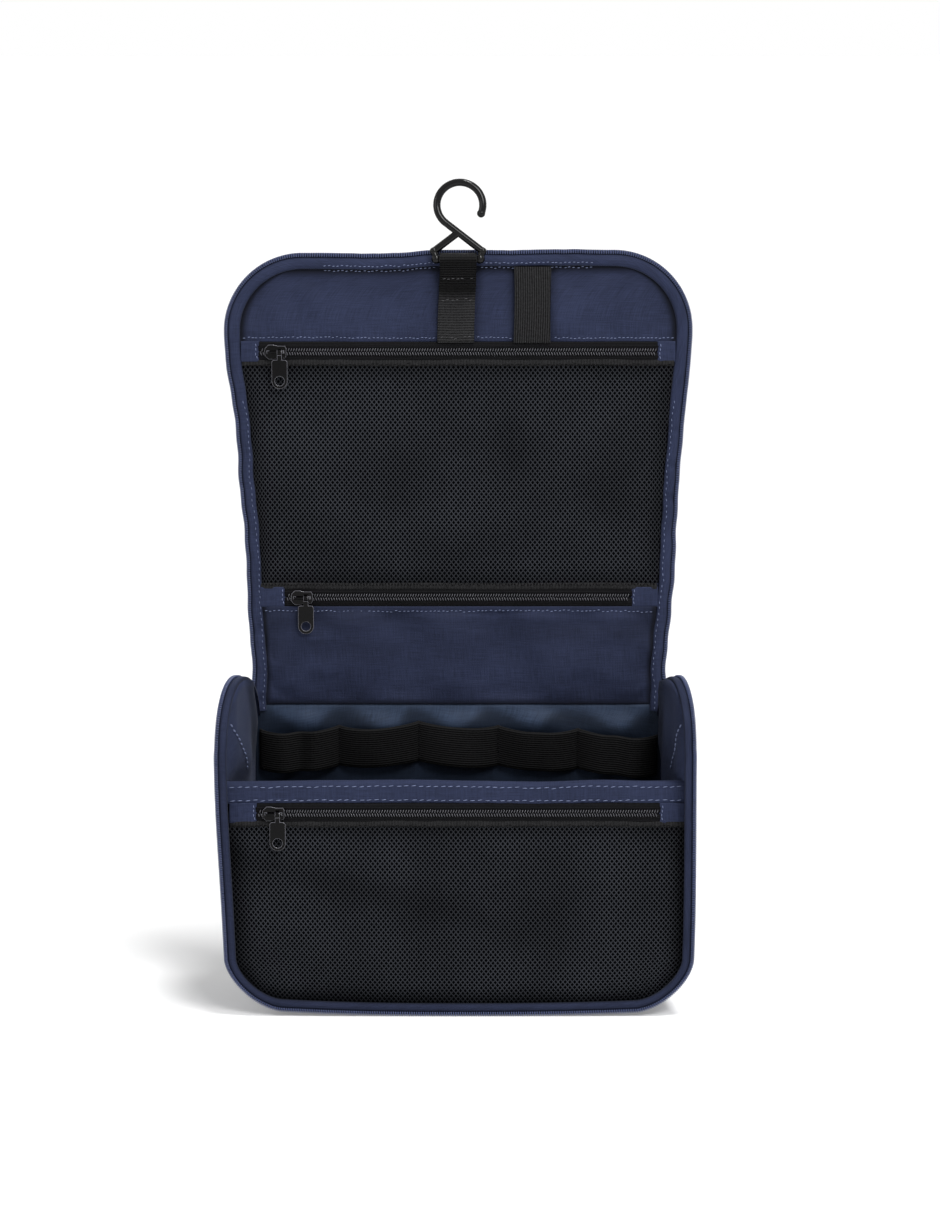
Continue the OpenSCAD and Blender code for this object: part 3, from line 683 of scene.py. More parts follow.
def settled(points):
    """Tub points as a soft bag stands: drawn in at the base, bulging above, with raised, rounder corners."""
    x, y, z = np.moveaxis(np.asarray(points, float), -1, 0)
    side, part = np.sign(x), np.abs(x) / half_w(y)
    over, under = np.abs(x) - half_w(y) + CORNER_R, CORNER_R - z
    far = np.maximum(np.hypot(over, under), 1e-6)
    corner = (over > 0) & (under > 0)
    pull = np.where(corner, 3.2 * over * under / far ** 2 * ease(far / CORNER_R), 0)
    draw = 1 - 0.017 * ease((118 - z) / 118) + 0.002 * np.sin(z / 27 + side)
    left = 0.9 + 2.6 * np.exp(-((z - 142) / 55) ** 2)
    right = 0.4 + 1.5 * np.exp(-((z - 45) / 60) ** 2)
    out = side * np.where(x < 0, left, right) * part ** 2 * ease((22 - y) / 46)
    lift = np.where(x < 0, *CORNER_LIFT) * part ** 2.4 * ease((46 - z) / 46)
    return np.stack([(x - side * pull * over / far) * draw + out, y, z + pull * under / far + lift], -1)


def eased(piece, field):
    """Moves a finished piece's points by a field that all its neighbours share."""
    flat = np.zeros(len(piece.data.vertices) * 3, np.float32)
    piece.data.vertices.foreach_get("co", flat)
    moved = field(flat.reshape(-1, 3) / MM) * MM
    piece.data.vertices.foreach_set("co", moved.astype(np.float32).ravel())
    piece.data.update()
    return piece


def on_tub(piece):
    """Eases a piece with the tub and makes it ride there."""
    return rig.ride(eased(piece, settled), "tub")


def bend(piece, zone, field=slackened):
    """Eases a piece with its neighbours and bends it between the two bodies of a zone."""
    start, end = (0, 0, zone.start * MM), (0, 0, zone.end * MM)
    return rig.blend(eased(piece, field), zone.below, zone.above, start, end)


def choose(piece):
    """Makes one object the only selected and active one."""
    bpy.ops.object.select_all(action="DESELECT")
    piece.select_set(True)
    bpy.context.view_layer.objects.active = piece


def in_edit(piece, *steps):
    """Runs edit-mode operators on the whole of a piece."""
    choose(piece)
    bpy.ops.object.mode_set(mode="EDIT")
    bpy.ops.mesh.select_all(action="SELECT")
    for step, settings in steps:
        step(**settings)
    bpy.ops.object.mode_set(mode="OBJECT")


def face_outwards(piece):
    """Turns the faces of a piece to its outside."""
    in_edit(piece, (bpy.ops.mesh.normals_make_consistent, {"inside": False}))


def modify(piece, kind, **settings):
    """Adds a modifier and applies it."""
    choose(piece)
    made = piece.modifiers.new(kind.lower(), kind)
    for key, value in settings.items():
        setattr(made, key, value)
    bpy.ops.object.modifier_apply(modifier=made.name)


def new_mesh(name, points, faces, finish, uv=None, seam=None):
    """A mesh object from millimetre points, with its finish.

    It may carry the cloth's own map and, as the seam attribute, how much painted shade each point takes.
    """
    mesh = bpy.data.meshes.new(name)
    mesh.from_pydata((np.asarray(points) * MM).tolist(), [], faces)
    if uv is not None:
        corner = np.zeros(len(mesh.loops), np.int32)
        mesh.loops.foreach_get("vertex_index", corner)
        layer = mesh.uv_layers.new(name="cloth")
        layer.data.foreach_set("uv", (uv[corner] * MM).astype(np.float32).ravel())
    if seam is not None:
        mesh.attributes.new("seam", "FLOAT", "POINT").data.foreach_set("value", np.asarray(seam, np.float32))
    mesh.materials.append(FINISHES[finish])
    piece = bpy.data.objects.new(name, mesh)
    bpy.context.scene.collection.objects.link(piece)
    mesh.shade_smooth()
    return piece


def run_along(grid, axis):
    """Length run along one direction of a grid of points, from its first row or column."""
    steps = np.linalg.norm(np.diff(grid, axis=axis), axis=2)
    start = np.zeros_like(np.take(steps, [0], axis))
    return np.concatenate([start, np.cumsum(steps, axis)], axis)


def cloth(name, patches, finish, toward=None, thick=0.0, closed=False, level=0, seam=None, loose=None):
    """One piece of cloth from grids of points, with faces towards a direction, thickened or closed.

    The painted shade, given as seam, is one row for all rows of a grid, or a function of a grid.
    """
    points, faces, maps, painted_shade, start = [], [], [], [], 0
    for grid in patches:
        rows, columns = grid.shape[:2]
        i = np.arange(rows * columns).reshape(rows, columns)
        quads = np.stack([i[:-1, :-1], i[:-1, 1:], i[1:, 1:], i[1:, :-1]], -1).reshape(-1, 4)
        flat = grid.reshape(-1, 3)
        if toward is not None:
            a, b, c = (flat[quads[:, k]] for k in (0, 1, 3))
            if (np.cross(b - a, c - a) @ toward).sum() < 0:
                quads = quads[:, ::-1]
        if seam is not None:
            painted_shade.append(seam(grid).ravel() if callable(seam) else np.tile(seam, rows))
        maps.append(np.stack([run_along(grid, 1), run_along(grid, 0)], -1).reshape(-1, 2))
        points.append(flat)
        faces.append(quads + start)
        start += rows * columns
    painted_shade = np.concatenate(painted_shade) if painted_shade else None
    faces = np.concatenate(faces).tolist()
    piece = new_mesh(name, np.concatenate(points), faces, finish, np.concatenate(maps), painted_shade)
    if closed:
        in_edit(piece, (bpy.ops.mesh.remove_doubles, {"threshold": 1e-6}))
        face_outwards(piece)
    if loose:
        settle(piece, loose.held(patches[0]), loose)
    if thick:
        modify(piece, "SOLIDIFY", thickness=thick * MM, offset=0.0)
    if level:
        modify(piece, "SUBSURF", levels=level, render_levels=level)
    return piece


def settle(piece, held, loose):
    """Lets a sheet buckle between its sewn edges, and keeps each point within a distance."""
    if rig.quick():
        return
    rest = np.array([p.co for p in piece.data.vertices])
    group = piece.vertex_groups.new(name="sewn")
    group.add(np.flatnonzero(held.ravel()).tolist(), 1.0, "REPLACE")
    made = piece.modifiers.new("cloth", "CLOTH")
    s = made.settings
    s.quality, s.mass, s.air_damping = 6, 0.12, 3.0
    s.tension_stiffness = s.compression_stiffness = 12
    s.shear_stiffness, s.bending_stiffness = 4, 0.08
    s.vertex_group_mass, s.shrink_min = "sewn", -loose.slack
    s.use_pressure, s.uniform_pressure_force = True, SETTLE_PRESSURE
    s.effector_weights.gravity = 0
    made.point_cache.frame_start, made.point_cache.frame_end = 1, SETTLE_FRAMES
    choose(piece)
    for f in range(1, SETTLE_FRAMES + 1):
        bpy.context.scene.frame_set(f)
    bpy.ops.object.modifier_apply(modifier=made.name)
    moved = np.array([p.co for p in piece.data.vertices]) - rest
    size = np.linalg.norm(moved, axis=1, keepdims=True)
    moved = (moved * np.minimum(1, loose.most * MM / np.maximum(size, 1e-9))).reshape(*held.shape, 3)
    for _ in range(4):
        moved[held] = 0
        for axis in (0, 1):
            moved = (np.roll(moved, 1, axis) + 2 * moved + np.roll(moved, -1, axis)) / 4
    smooth = rest + moved.reshape(-1, 3)
    piece.data.vertices.foreach_set("co", smooth.astype(np.float32).ravel())
    piece.data.update()
    piece.vertex_groups.clear()
    bpy.context.scene.frame_set(1)


def shape_of(piece):
    """Points in millimetres and faces of a modelled pattern piece, which is then removed."""
    points = np.array([p.co for p in piece.data.vertices]) / MM
    faces = [list(f.vertices) for f in piece.data.polygons]
    bpy.data.objects.remove(piece)
    return points, faces


def lozenge(length, width, height):
    """A small rounded lump, for stitches and coil links."""
    bpy.ops.object.select_all(action="DESELECT")
    bpy.ops.mesh.primitive_uv_sphere_add(
        segments=6, ring_count=4, radius=0.5 * MM, rotation=(0, math.pi / 2, 0))
    piece = bpy.context.active_object
    bpy.ops.object.transform_apply(location=True, rotation=True, scale=True)
    in_edit(piece, (bpy.ops.transform.resize, {"value": (length, width, height)}))
    return shape_of(piece)


def tooth():
    """One tooth of the main zip: a small block with bevelled edges."""
    bpy.ops.object.select_all(action="DESELECT")
    bpy.ops.mesh.primitive_cube_add(size=MM)
    piece = bpy.context.active_object
    in_edit(piece, (bpy.ops.transform.resize, {"value": (0.72, 2.1, 1.5)}),
            (bpy.ops.mesh.bevel, {"offset": 0.2 * MM, "segments": 1, "affect": "EDGES"}))
    return shape_of(piece)


def placed(origin, along, out):
    """Places for copies of a pattern piece: points, and directions along it, across it and outwards."""
    along, out = np.broadcast_to(along, origin.shape), np.broadcast_to(out, origin.shape)
    return origin, along, np.cross(out, along), out


def tiled(name, shape, groups, finish):
    """Copies of a pattern piece in one mesh, from groups of places."""
    form, faces = shape
    origin, along, side, out = (np.concatenate(parts)[:, None] for parts in zip(*groups))
    points = origin + form[:, :1] * along + form[:, 1:2] * side + form[:, 2:] * out
    copies = [[k + n * len(form) for k in f] for n in range(len(origin)) for f in faces]
    return new_mesh(name, points.reshape(-1, 3), copies, finish)


def stitches(line, pitch, wander, seed, out=FRONT, skip=0.0):
    """Places of stitches along a line of points, with a hand's unevenness."""
    line = resampled(np.asarray(line, float), pitch)
    dice = np.random.default_rng(seed)
    middle, along = (line[1:] + line[:-1]) / 2, unit(line[1:] - line[:-1])
    one_each = (len(middle), 1)
    side = np.cross(out, along)
    middle = middle + side * dice.normal(0, 0.12 + wander, one_each) + along * dice.normal(0, 0.15, one_each)
    turned = unit(along + side * dice.normal(0.12, 0.06, one_each))
    keep = dice.random(len(middle)) >= skip
    return placed(middle[keep], turned[keep], out)


def stitches_beside(line, pitch, seed, straps):
    """Places of stitches in a row with gaps in X where straps lie over it."""
    places = stitches(line, pitch, 0.06, seed)
    x = places[0][:, 0]
    keep = np.ones(len(x), bool)
    for start, end in straps:
        keep &= (x < start) | (x > end)
    return [p[keep] for p in places]


def net(name, half, z0, z1, depth, sizes, folds=None):
    """A net of diamonds between two heights, with a raised ridge along each strand.

    It has painted shade along its edges and in its folds.
    """
    ridge = 0.24
    a, b, w = sizes.cell_w / MM / 2, sizes.cell_h / MM / 2, sizes.strand / MM
    rows = int((z1 - z0) / b)
    columns = int(np.max(half(np.linspace(z0, z1, 50))) / a) + 2
    i, j = np.meshgrid(np.arange(-columns, columns + 1), np.arange(-1, rows + 2))
    even = (i + j) % 2 == 0
    number = -np.ones(i.shape, int)
    number[even] = np.arange(even.sum())
    knots = np.stack([i[even] * a, z0 + j[even] * b], 1)
    odd = ~even
    odd[[0, -1]] = odd[:, [0, -1]] = False
    r, c = np.nonzero(odd)
    centre = np.stack([i[r, c] * a, z0 + j[r, c] * b], 1)
    inside = (np.abs(centre[:, 0]) < half(centre[:, 1])) & (centre[:, 1] > z0) & (centre[:, 1] < z1)
    r, c, centre = r[inside], c[inside], centre[inside]
    corners = np.stack([number[r, c - 1], number[r + 1, c], number[r, c + 1], number[r - 1, c]], 1)
    share = 1 - w / 2 * math.hypot(a, b) / (a * b)
    inner = centre[:, None] + share * (knots[corners] - centre[:, None])
    used, compact = np.unique(corners, return_inverse=True)
    corners = compact.reshape(corners.shape)
    x, z = np.concatenate([knots[used], inner.reshape(-1, 2)]).T
    z = np.clip(z, z0, z1)
    x = np.clip(x, -half(z), half(z))
    high = np.r_[np.full(len(used), ridge), np.zeros(len(inner) * 4)]
    points = np.stack([x, depth(x, z) - high, z], 1)
    n = len(used) + 4 * np.arange(len(centre))
    faces = []
    for k in range(4):
        m = (k + 1) % 4
        faces.append(np.stack([corners[:, k], corners[:, m], n + m, n + k], 1))
    faces = np.concatenate(faces)[:, ::-1]
    gap = np.minimum(half(z) - np.abs(x), np.minimum(z - z0, z1 - z))
    # Painted shade, darkest at the net's edges.
    painted_shade = 0.75 * (1 - ease((gap + 1) / 15))
    if folds:
        painted_shade = painted_shade + folds(x, z)
    return new_mesh(name, points, faces.tolist(), "net", None, painted_shade)


def lid_net_y(x, z):
    """Depth of the lid's net, which bellies out a little over its pocket."""
    u = np.clip(np.abs(x) / np.maximum(inner_half(z) - 0.4, 1), 0, 1)
    v = np.clip((z - NET_FOOT) / (NET_TOP - NET_FOOT), 0, 1)
    belly = np.sqrt(1 - u ** 2) * np.sin(math.pi * v) ** 0.6
    return LID_Y - 1.4 - 2.0 * belly + 0.45 * ripple(x, z, 11, 28, 75) * belly


def front_net_waves(x, z):
    """Soft folds of the front net, kept from being too deep."""
    return np.clip(ripple(x, z, 5, 35, 95), -1.4, 1.4)


def front_net_y(x, z):
    """Depth of the front net, which bellies out and slackens in soft folds, less so in the lower middle."""
    u = np.clip(np.abs(x) / tub_half(z, MESH_HIGH[0], INNER_R, MESH_LOW[2]), 0, 1)
    v = np.clip((z - MESH_LOW[2]) / (MESH_HIGH[2] - MESH_LOW[2]), 0, 1)
    belly = (1 - u ** 6) ** 0.7 * np.sin(math.pi * v ** 0.8) ** 0.55
    clear = 1 - 0.5 * np.exp(-(x / 26) ** 2) * ease((95 - z) / 25)
    return MESH_LOW[1] - (2.7 - front_net_waves(x, z)) * belly * clear


def front_net_folds(x, z):
    """Shade in the hollows of the front net: a slanting fold from the upper left, and soft ones below it."""
    slant = np.exp(-((z - 62 + 0.28 * (x + 30)) / 11) ** 2) * ease((70 - x) / 60)
    crest = np.exp(-((z - 84 + 0.28 * (x + 60)) / 9) ** 2) * ease((10 - x) / 50)
    # Painted shade in the hollows; the crest term paints the crest lighter.
    return 0.34 * slant - 0.3 * crest + 0.14 * front_net_waves(x, z)


def padded_panel(name, half, zs, end_gap, radius):
    """A closed pad with round edges. Its outer face has ripples that run on from the back over the fold."""
    def edge(z, u):
        gap = np.minimum((1 - np.abs(u)) * half(z[:, 0])[:, None], end_gap(z))
        return rounded(gap, radius)

    def inner(x, z, u, v):
        return PAD_Y - PAD_HALF * edge(z, u)

    def outer(x, z, u, v):
        return PAD_Y + edge(z, u) * (PAD_HALF + 0.45 + 0.35 * ripple(x, z, 22, 40, 110))

    sheets = [xz_sheet(half, zs, 70, face) for face in (inner, outer)]
    return cloth(name, sheets, "navy", closed=True)


def gusset_in(x, y, z):
    """How far a side wall leans in from its sewn edges, rolled in behind the zip and folded at the rear."""
    behind, ahead = y - GUSSET_FRONT, GUSSET_REAR - y
    free = ease(behind / 10) * ease(ahead / 6)
    roll = 4.6 * ease((behind - 1) / 17) * ease(ahead / 34) * ease((z - 108) / 26)
    fold = 2.6 * np.exp(-((y - 20 + 0.55 * (z - 150)) / 5) ** 2) * ease((z - 118) / 30) * ease(ahead / 4)
    return free * (0.8 * ripple(y, z, 3, 22, 60) * np.sign(-x + 1e-9) + 0.5) + roll + fold


def between_gussets(grid):
    """Points of a sheet across the tub, with its ends kept inside the cloth of the side walls."""
    x, y, z = np.moveaxis(grid, 2, 0)
    limit = half_w(y) - 1.0 - gusset_in(x, y, z)
    return np.stack([np.clip(x, -limit, limit), y, z], -1)


def gusset_tops(ys):
    """Heights of a side wall's top edge: round over the dome, then down in a slack line to the fold."""
    radius = DOME_Y - GUSSET_FRONT
    shoulder_z = FOLD_Z - 1.5
    gap_y, gap_z = GUSSET_REAR - DOME_Y, shoulder_z - DOME_Z
    touch = math.atan2(gap_z, gap_y) + math.acos(radius / math.hypot(gap_y, gap_z))
    touch_y, touch_z = DOME_Y + radius * math.cos(touch), DOME_Z + radius * math.sin(touch)
    arc = DOME_Z + np.sqrt(np.maximum(radius ** 2 - (ys - DOME_Y) ** 2, 0))
    down = (ys - touch_y) / (GUSSET_REAR - touch_y)
    slope = touch_z + down * (shoulder_z - touch_z) - 2.2 * np.sin(math.pi * np.clip(down, 0, 1))
    return np.where(ys > touch_y, slope, arc)


def wall_row(half, top):
    """Places and outward directions, in X and Z, from the left top round the base to the right top."""
    side = np.zeros((34, 4))
    side[:, 0], side[:, 1], side[:, 2] = -half, np.linspace(top, CORNER_R, 34), -1
    turn = np.linspace(math.pi, math.pi * 1.5, 12)[1:]
    out = np.stack([np.cos(turn), np.sin(turn)], 1)
    corner = np.concatenate([out * CORNER_R + (CORNER_R - half, CORNER_R), out], 1)
    base = np.zeros((24, 4))
    base[:, 0], base[:, 3] = np.linspace(CORNER_R - half, half - CORNER_R, 26)[1:-1], -1
    left = np.concatenate([side, corner])
    return np.concatenate([left, base, (left * (-1, 1, -1, 1))[::-1]])


class BAG_OT_wall(bpy.types.Operator):
    """Side walls and base of the tub as one soft strip of navy cloth, with domed tops"""

    bl_idname = "bag.wall"
    bl_label = "Tub wall"

    def execute(self, context):
        ys = spread(GUSSET_FRONT, GUSSET_REAR, 46, True)
        rows = np.array([wall_row(half_w(y), top) for y, top in zip(ys, gusset_tops(ys))])
        x, z, out_x, out_z = np.moveaxis(rows, 2, 0)
        y = np.repeat(ys[:, None], x.shape[1], 1)
        inset = 1.0 + np.abs(out_x) * gusset_in(x, y, z)
        # Painted shade along the fold at the rear top of each side wall, and further inside towards the rear and top.
        fold = np.exp(-((y - 17 + 0.5 * (z - 150)) / 6) ** 2) * ease((z - 112) / 30)
        inside = 0.8 * ease((y - 6) / 18) * ease((z - 120) / 20)
        painted_shade = 0.75 * np.clip(fold + inside, 0, 1) * np.abs(out_x)
        points = np.stack([x - out_x * inset, y, z - out_z * inset], -1)
        wall = cloth("tub_wall", [points], "navy", thick=1.6, seam=lambda grid: painted_shade)
        face_outwards(wall)
        on_tub(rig.replaces(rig.slot(wall, "navy_cloth"), "left_gusset", "right_gusset", "base_panel"))
        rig.sheet(wall, (0.069, 0.56), "stretched", ["back_pad"])
        return {"FINISHED"}


def back_lining():
    """Lining of the back wall, in soft folds above the elastic loops, up to the pocket panel of the lid."""
    low, high = node_box("back_lining")
    top = PANEL_Z + 0.8

    def half(z):
        return tub_half(z, high[0], INNER_R, low[2])

    def folds(x, z, u, v):
        loose = (1 - u ** 8) * ease(v * 8)
        height = np.exp(-((z - 144 - 1.5 * np.sin(x / 19)) / 6.5) ** 2)
        swag = np.sin(math.pi * ((x / LOOP_W + 0.5) % 1)) ** 2 * height
        slack = 4.4 * swag + 0.45 * ripple(x * 1.6, z * 0.7, 9, 18, 50) + 0.5
        tucked = 0.4 * ease((z - PANEL_Z + 2) / 2)
        return low[1] + 0.6 - loose * ease((PANEL_Z - z) / 7) * slack + tucked

    # Painted shade between the swags of the lining above the loops, and along the strip at its top.
    def hollows(grid):
        x, _, z = np.moveaxis(grid, 2, 0)
        crest = np.sin(math.pi * ((x / LOOP_W + 0.5 + 0.1 * np.sin(x / 31)) % 1)) ** 2
        sunk = 1 - ease((z - 149 + 10 * crest + 1.5 * ripple(x, z, 12, 14, 40)) / 7)
        return 0.66 * sunk + 0.2 * ease((z - PANEL_Z + 2) / 2)

    sheet = xz_sheet(half, spread(low[2], top, 56), 120, folds)
    lining = cloth("back_lining_cloth", [sheet], "lining", FRONT, thick=0.5, seam=hollows)
    bend(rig.replaces(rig.slot(lining, "lining"), "back_lining"), LOWER, settled)
    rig.sheet(lining, (2 * high[0] * MM, (top - low[2]) * MM), "stretched", ["back_pad"])


class BAG_OT_back(bpy.types.Operator):
    """Padded back panel and the lining inside it"""

    bl_idname = "bag.back"
    bl_label = "Back panel and lining"

    def execute(self, context):
        def half(z):
            return tub_half(z, FOLD_HALF, CORNER_R, 0)

        pad = padded_panel("back_pad", half, spread(0, FOLD_Z, 60), lambda z: z, 3.0)
        on_tub(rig.replaces(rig.slot(pad, "navy_cloth"), "back_panel"))
        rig.padded(pad, PAD_FILL)
        back_lining()
        return {"FINISHED"}


def front_wall():
    """Front wall of the tub, which bulges a little behind its net."""
    low, high = FRONT_LOW, FRONT_HIGH

    def half(z):
        return tub_half(z, high[0] + 0.6, INNER_R, low[2])

    def panel(x, z, u, v):
        bulge = 0.9 * np.sin(math.pi * v) - 0.3 * ripple(x, z, 14, 30, 80)
        return (low[1] + high[1]) / 2 - (1 - u ** 6) * bulge

    sheet = xz_sheet(half, spread(low[2], high[2], 40), 90, panel)
    wall = cloth("front_wall", [between_gussets(sheet)], "dark", FRONT, thick=1.2)
    on_tub(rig.replaces(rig.slot(wall, "lining"), "front_panel"))
    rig.sheet(wall, (2 * high[0] * MM, (high[2] - low[2]) * MM), "stretched", ["tub_wall"])


def front_hem():
    """Hem that folds over the top of the front wall."""
    low, high = node_box("front_hem")
    front, rear, foot, top = low[1], high[1], low[2], high[2]
    fold = np.array([
        (front + 0.9, foot - 0.6), (front + 0.1, foot + 0.2), (front - 0.25, foot + 1.6),
        (front - 0.05, foot + 3.2), (front - 0.35, foot + 5.6), (front - 0.05, foot + 7.8),
        (front - 0.2, top - 1.8), (front + 0.5, top - 0.4), (front + 1.9, top + 0.35),
        (rear - 1.7, top + 0.3), (rear - 0.4, top - 0.6), (rear, top - 2.2),
        (rear - 0.1, foot + 4), (rear - 0.2, foot),
    ])
    xs = np.linspace(-high[0] - 0.4, high[0] + 0.4, 170)[:, None]
    sway, pucker = ripple(xs, 0, *HEM_SWAY), ripple(xs, 0, *HEM_PUCKER)
    y = fold[:, 0] + 0.35 * sway + 0.14 * pucker
    z = fold[:, 1] + 0.3 * sway * (fold[:, 1] > foot + 6)
    grid = np.stack([np.broadcast_to(xs, y.shape), y, z], -1)
    hem = cloth("front_hem_cloth", [between_gussets(grid)], "navy", thick=0.7, level=1)
    face_outwards(hem)
    on_tub(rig.replaces(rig.slot(hem, "navy_cloth"), "front_hem"))
    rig.sheet(hem, (2 * high[0] * MM, 0.028), "folded", ["front_wall"])


class BAG_OT_front(bpy.types.Operator):
    """Front wall, its folded hem and the net pocket in front of it"""

    bl_idname = "bag.front"
    bl_label = "Front wall and net pocket"

    def execute(self, context):
        def half(z):
            return tub_half(z, MESH_HIGH[0] + 0.8, INNER_R, MESH_LOW[2] - 0.5)

        front_wall()
        front_hem()
        low, high, sizes = MESH_LOW[2], MESH_HIGH[2] + 0.6, context.scene.bag_sizes
        mesh = net("front_net", half, low, high, front_net_y, sizes, front_net_folds)
        on_tub(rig.replaces(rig.slot(mesh, "mesh"), "front_mesh"))
        return {"FINISHED"}


class BAG_OT_loops(bpy.types.Operator):
    """Band of elastic loops along the back wall, bowed and sagging between its sewn lands"""

    bl_idname = "bag.loops"
    bl_label = "Elastic loops"

    def execute(self, context):
        low, high = node_box("elastic_loops")
        count, per = 5, 30
        start, foot = low[0] + 2, low[2] + 5.0
        pitch = (high[0] - low[0] - 4) / count
        # Rise of each land, and for each loop how far it bows out and how much of that a dent takes back
        rise = (-3.4, -1.0, 0.6, -1.2, -3.0, -7.0)
        depth = (9.4, 6.6, 5.4, 6.2, 8.8)
        dent = (0.62, 0.0, 0.1, 0.25, 0.5)
        rows = np.linspace(0, 1, 12)
        grid = []
        for k in range(count * per + 1):
            i = min(k // per, count - 1)
            t = k / per - i
            bow = math.sin(math.pi * t) ** 0.75
            out = depth[i] * bow * (1 - dent[i] * math.exp(-((t - 0.5) / 0.14) ** 2))
            shift = rise[i] + (rise[i + 1] - rise[i]) * float(ease(t))
            sag = 1.6 * bow + 0.4 * math.sin(2.3 * k / per)
            lean = (rows - 0.5) * 1.8 * bow * (-1) ** i + 0.3 * np.cos(3 * rows + k * 0.2) * bow
            squeeze = 1 + 0.035 * (1 - bow)
            z = foot + LOOP_TALL / 2 + (rows - 0.5) * LOOP_TALL * squeeze + shift - sag
            grid.append(np.stack([np.full(12, start + k / per * pitch), high[1] - 0.9 - out + lean, z], 1))
        band = cloth("elastic_loop_band", [np.array(grid).swapaxes(0, 1)], "elastic", FRONT, thick=0.9)
        on_tub(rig.replaces(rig.slot(band, "black_band"), "elastic_loops"))
        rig.sheet(band, (0.262, LOOP_TALL * MM), "gathered", ["back_lining_cloth"])
        lands = []
        for i in range(1, count):
            x, y, z = start + i * pitch, high[1] - 1.7, foot + rise[i]
            lands.append(stitches([(x, y, z + 1), (x, y, z + LOOP_TALL - 1)], 2.6, 0.1, 60 + i))
        on_tub(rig.slot(tiled("loop_seams", lozenge(1.7, 0.5, 0.4), lands, "black_thread"), "black_band"))
        return {"FINISHED"}


def lid_pad(zone):
    """Padded outer panel of the lid within one zone, with finer rows at the lid's round top."""
    zs = spread(zone.low, zone.high, 26)
    if zone is UPPER:
        zs = zone.low + (zone.high - zone.low) * np.sin(np.linspace(0, math.pi / 2, 70))
    pad = padded_panel(f"lid_pad_{zone.name}", lid_half, zs, lambda z: LID_TOP - z, 2.6)
    bend(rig.replaces(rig.slot(pad, "navy_cloth"), f"lid_{zone.name}_shell"), zone)
    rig.padded(pad, PAD_FILL)


def lid_rim(zone):
    """Rim band of the lid within one zone: a roll of cloth with puckers along its straight sides."""
    profile = np.array([
        (1.6, -0.1), (2.2, -1.3), (2.7, -2.1), (3.5, -2.6), (4.7, -2.9), (6.0, -2.95),
        (7.2, -2.7), (8.0, -2.2), (8.5, -1.4), (8.3, -0.6), (7.8, 0.2),
    ])
    # Painted shade across the rim band, darkest in the recess at its inner edge and beside its outer edge.
    painted_shade = np.array([0.9, 0.6, 0.15, 0, 0, 0, 0, 0.1, 0.6, 1, 1])
    crown = 1 - np.clip((profile[:, 1] - profile[:, 1].min()) / 2.9, 0, 1)
    inner = np.linspace(0, 1, len(profile))
    patches = []
    for points, inward in lid_runs(zone, 0.9):
        x, _, z = points.T
        straight = ease((PUCKER_TOP - z) / 30)[:, None]
        crease = np.clip(ripple(z, np.sign(x) * 50, 41, 7, 17) - 0.75, 0, 2)[:, None]
        soft = ripple(z, x * 0.3, 42, 20, 45)[:, None]
        sunk = crown * straight * (1.25 * crease + 0.2 * np.clip(soft, 0, 2))
        wide = profile + np.stack([inner * 0.35 * soft * straight, sunk], -1)
        patches.append(swept(points, inward, REAR, wide))
    rim = cloth(f"lid_rim_{zone.name}", patches, "navy", FRONT, seam=painted_shade)
    bend(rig.replaces(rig.slot(rim, "navy_cloth"), f"lid_{zone.name}_rim"), zone)


class BAG_OT_lid(bpy.types.Operator):
    """Padded lid panel and the gathered rim band round it"""

    bl_idname = "bag.lid"
    bl_label = "Lid panel and rim"

    def execute(self, context):
        for zone in ZONES:
            lid_pad(zone)
            lid_rim(zone)
        return {"FINISHED"}


def top_panel():
    """Panel of the lid behind the webbing and the strap, settled as loose cloth."""
    low, high = node_box("lid_top_panel")
    zs = np.r_[low[2] - 0.4, low[2] + 0.4, spread(low[2] + 1.2, high[2] + 0.8, 42)]

    def half(z):
        z = np.asarray(z, float)
        up = np.clip(z - LID_CORNER_Z, 0, LID_CORNER_R - 8.3)
        corner = np.sqrt((LID_CORNER_R - 8.2) ** 2 - up ** 2)
        return lid_half(np.minimum(z, LID_CORNER_Z)) - LID_CORNER_R + corner

    def puff(x, z, u, v):
        edge = np.clip((1 - u ** 4) * ease(v * 6) * ease((1 - v) * 4), 0, 1)
        hem = 0.6 * ease(1 - v * 9)
        return LID_Y - 0.4 - 1.3 * edge - hem - 0.3 * ripple(x, z, 51, 16, 55) * edge

    def edge_gap(grid):
        return np.minimum(half(grid[..., 2]) - np.abs(grid[..., 0]), zs[-1] - grid[..., 2])

    # Painted shade in the recess by the rim band, softer further in, and a painted shadow beside the webbing and the
    # strap.
    def painted_shade(grid):
        x, gap = grid[..., 0], edge_gap(grid)
        straps = np.minimum(np.abs(x + 0.6) - 10.4, np.abs(x - 39.4) - 10)
        return 1 - ease(gap / 5.6) + 0.16 * (1 - ease(gap / 20)) + 0.4 * (1 - ease(straps / 5))

    def held(grid):
        return (edge_gap(grid) < 3) | (grid[..., 2] < zs[0] + 3)

    sheet, loose = xz_sheet(half, zs, 130, puff), Loose(held, 0.012, 0.7)
    top = cloth("lid_top_cloth", [sheet], "navy", FRONT, thick=0.6, seam=painted_shade, loose=loose)
    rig.ride(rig.replaces(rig.slot(eased(top, slackened), "navy_cloth"), "lid_top_panel"), "lid_upper")
    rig.sheet(top, (2 * high[0] * MM, (high[2] - low[2] + 2) * MM), "stretched", ["lid_pad_upper"])


def pocket_backing():
    """Dark cloth behind the lid's net."""
    def depth(x, z, u, v):
        return LID_Y - 0.25 - 0.25 * np.abs(ripple(x, z, 53, 25, 70)) * (1 - u ** 6)

    sheet = xz_sheet(inner_half, spread(CUT_2, BACKING_TOP, 50), 90, depth)
    back = cloth("lid_pocket_backing", [sheet], "dark", FRONT)
    bend(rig.slot(back, "lining"), UPPER)
    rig.sheet(back, (0.232, (BACKING_TOP - CUT_2) * MM), "stretched", ["lid_pad_upper"])


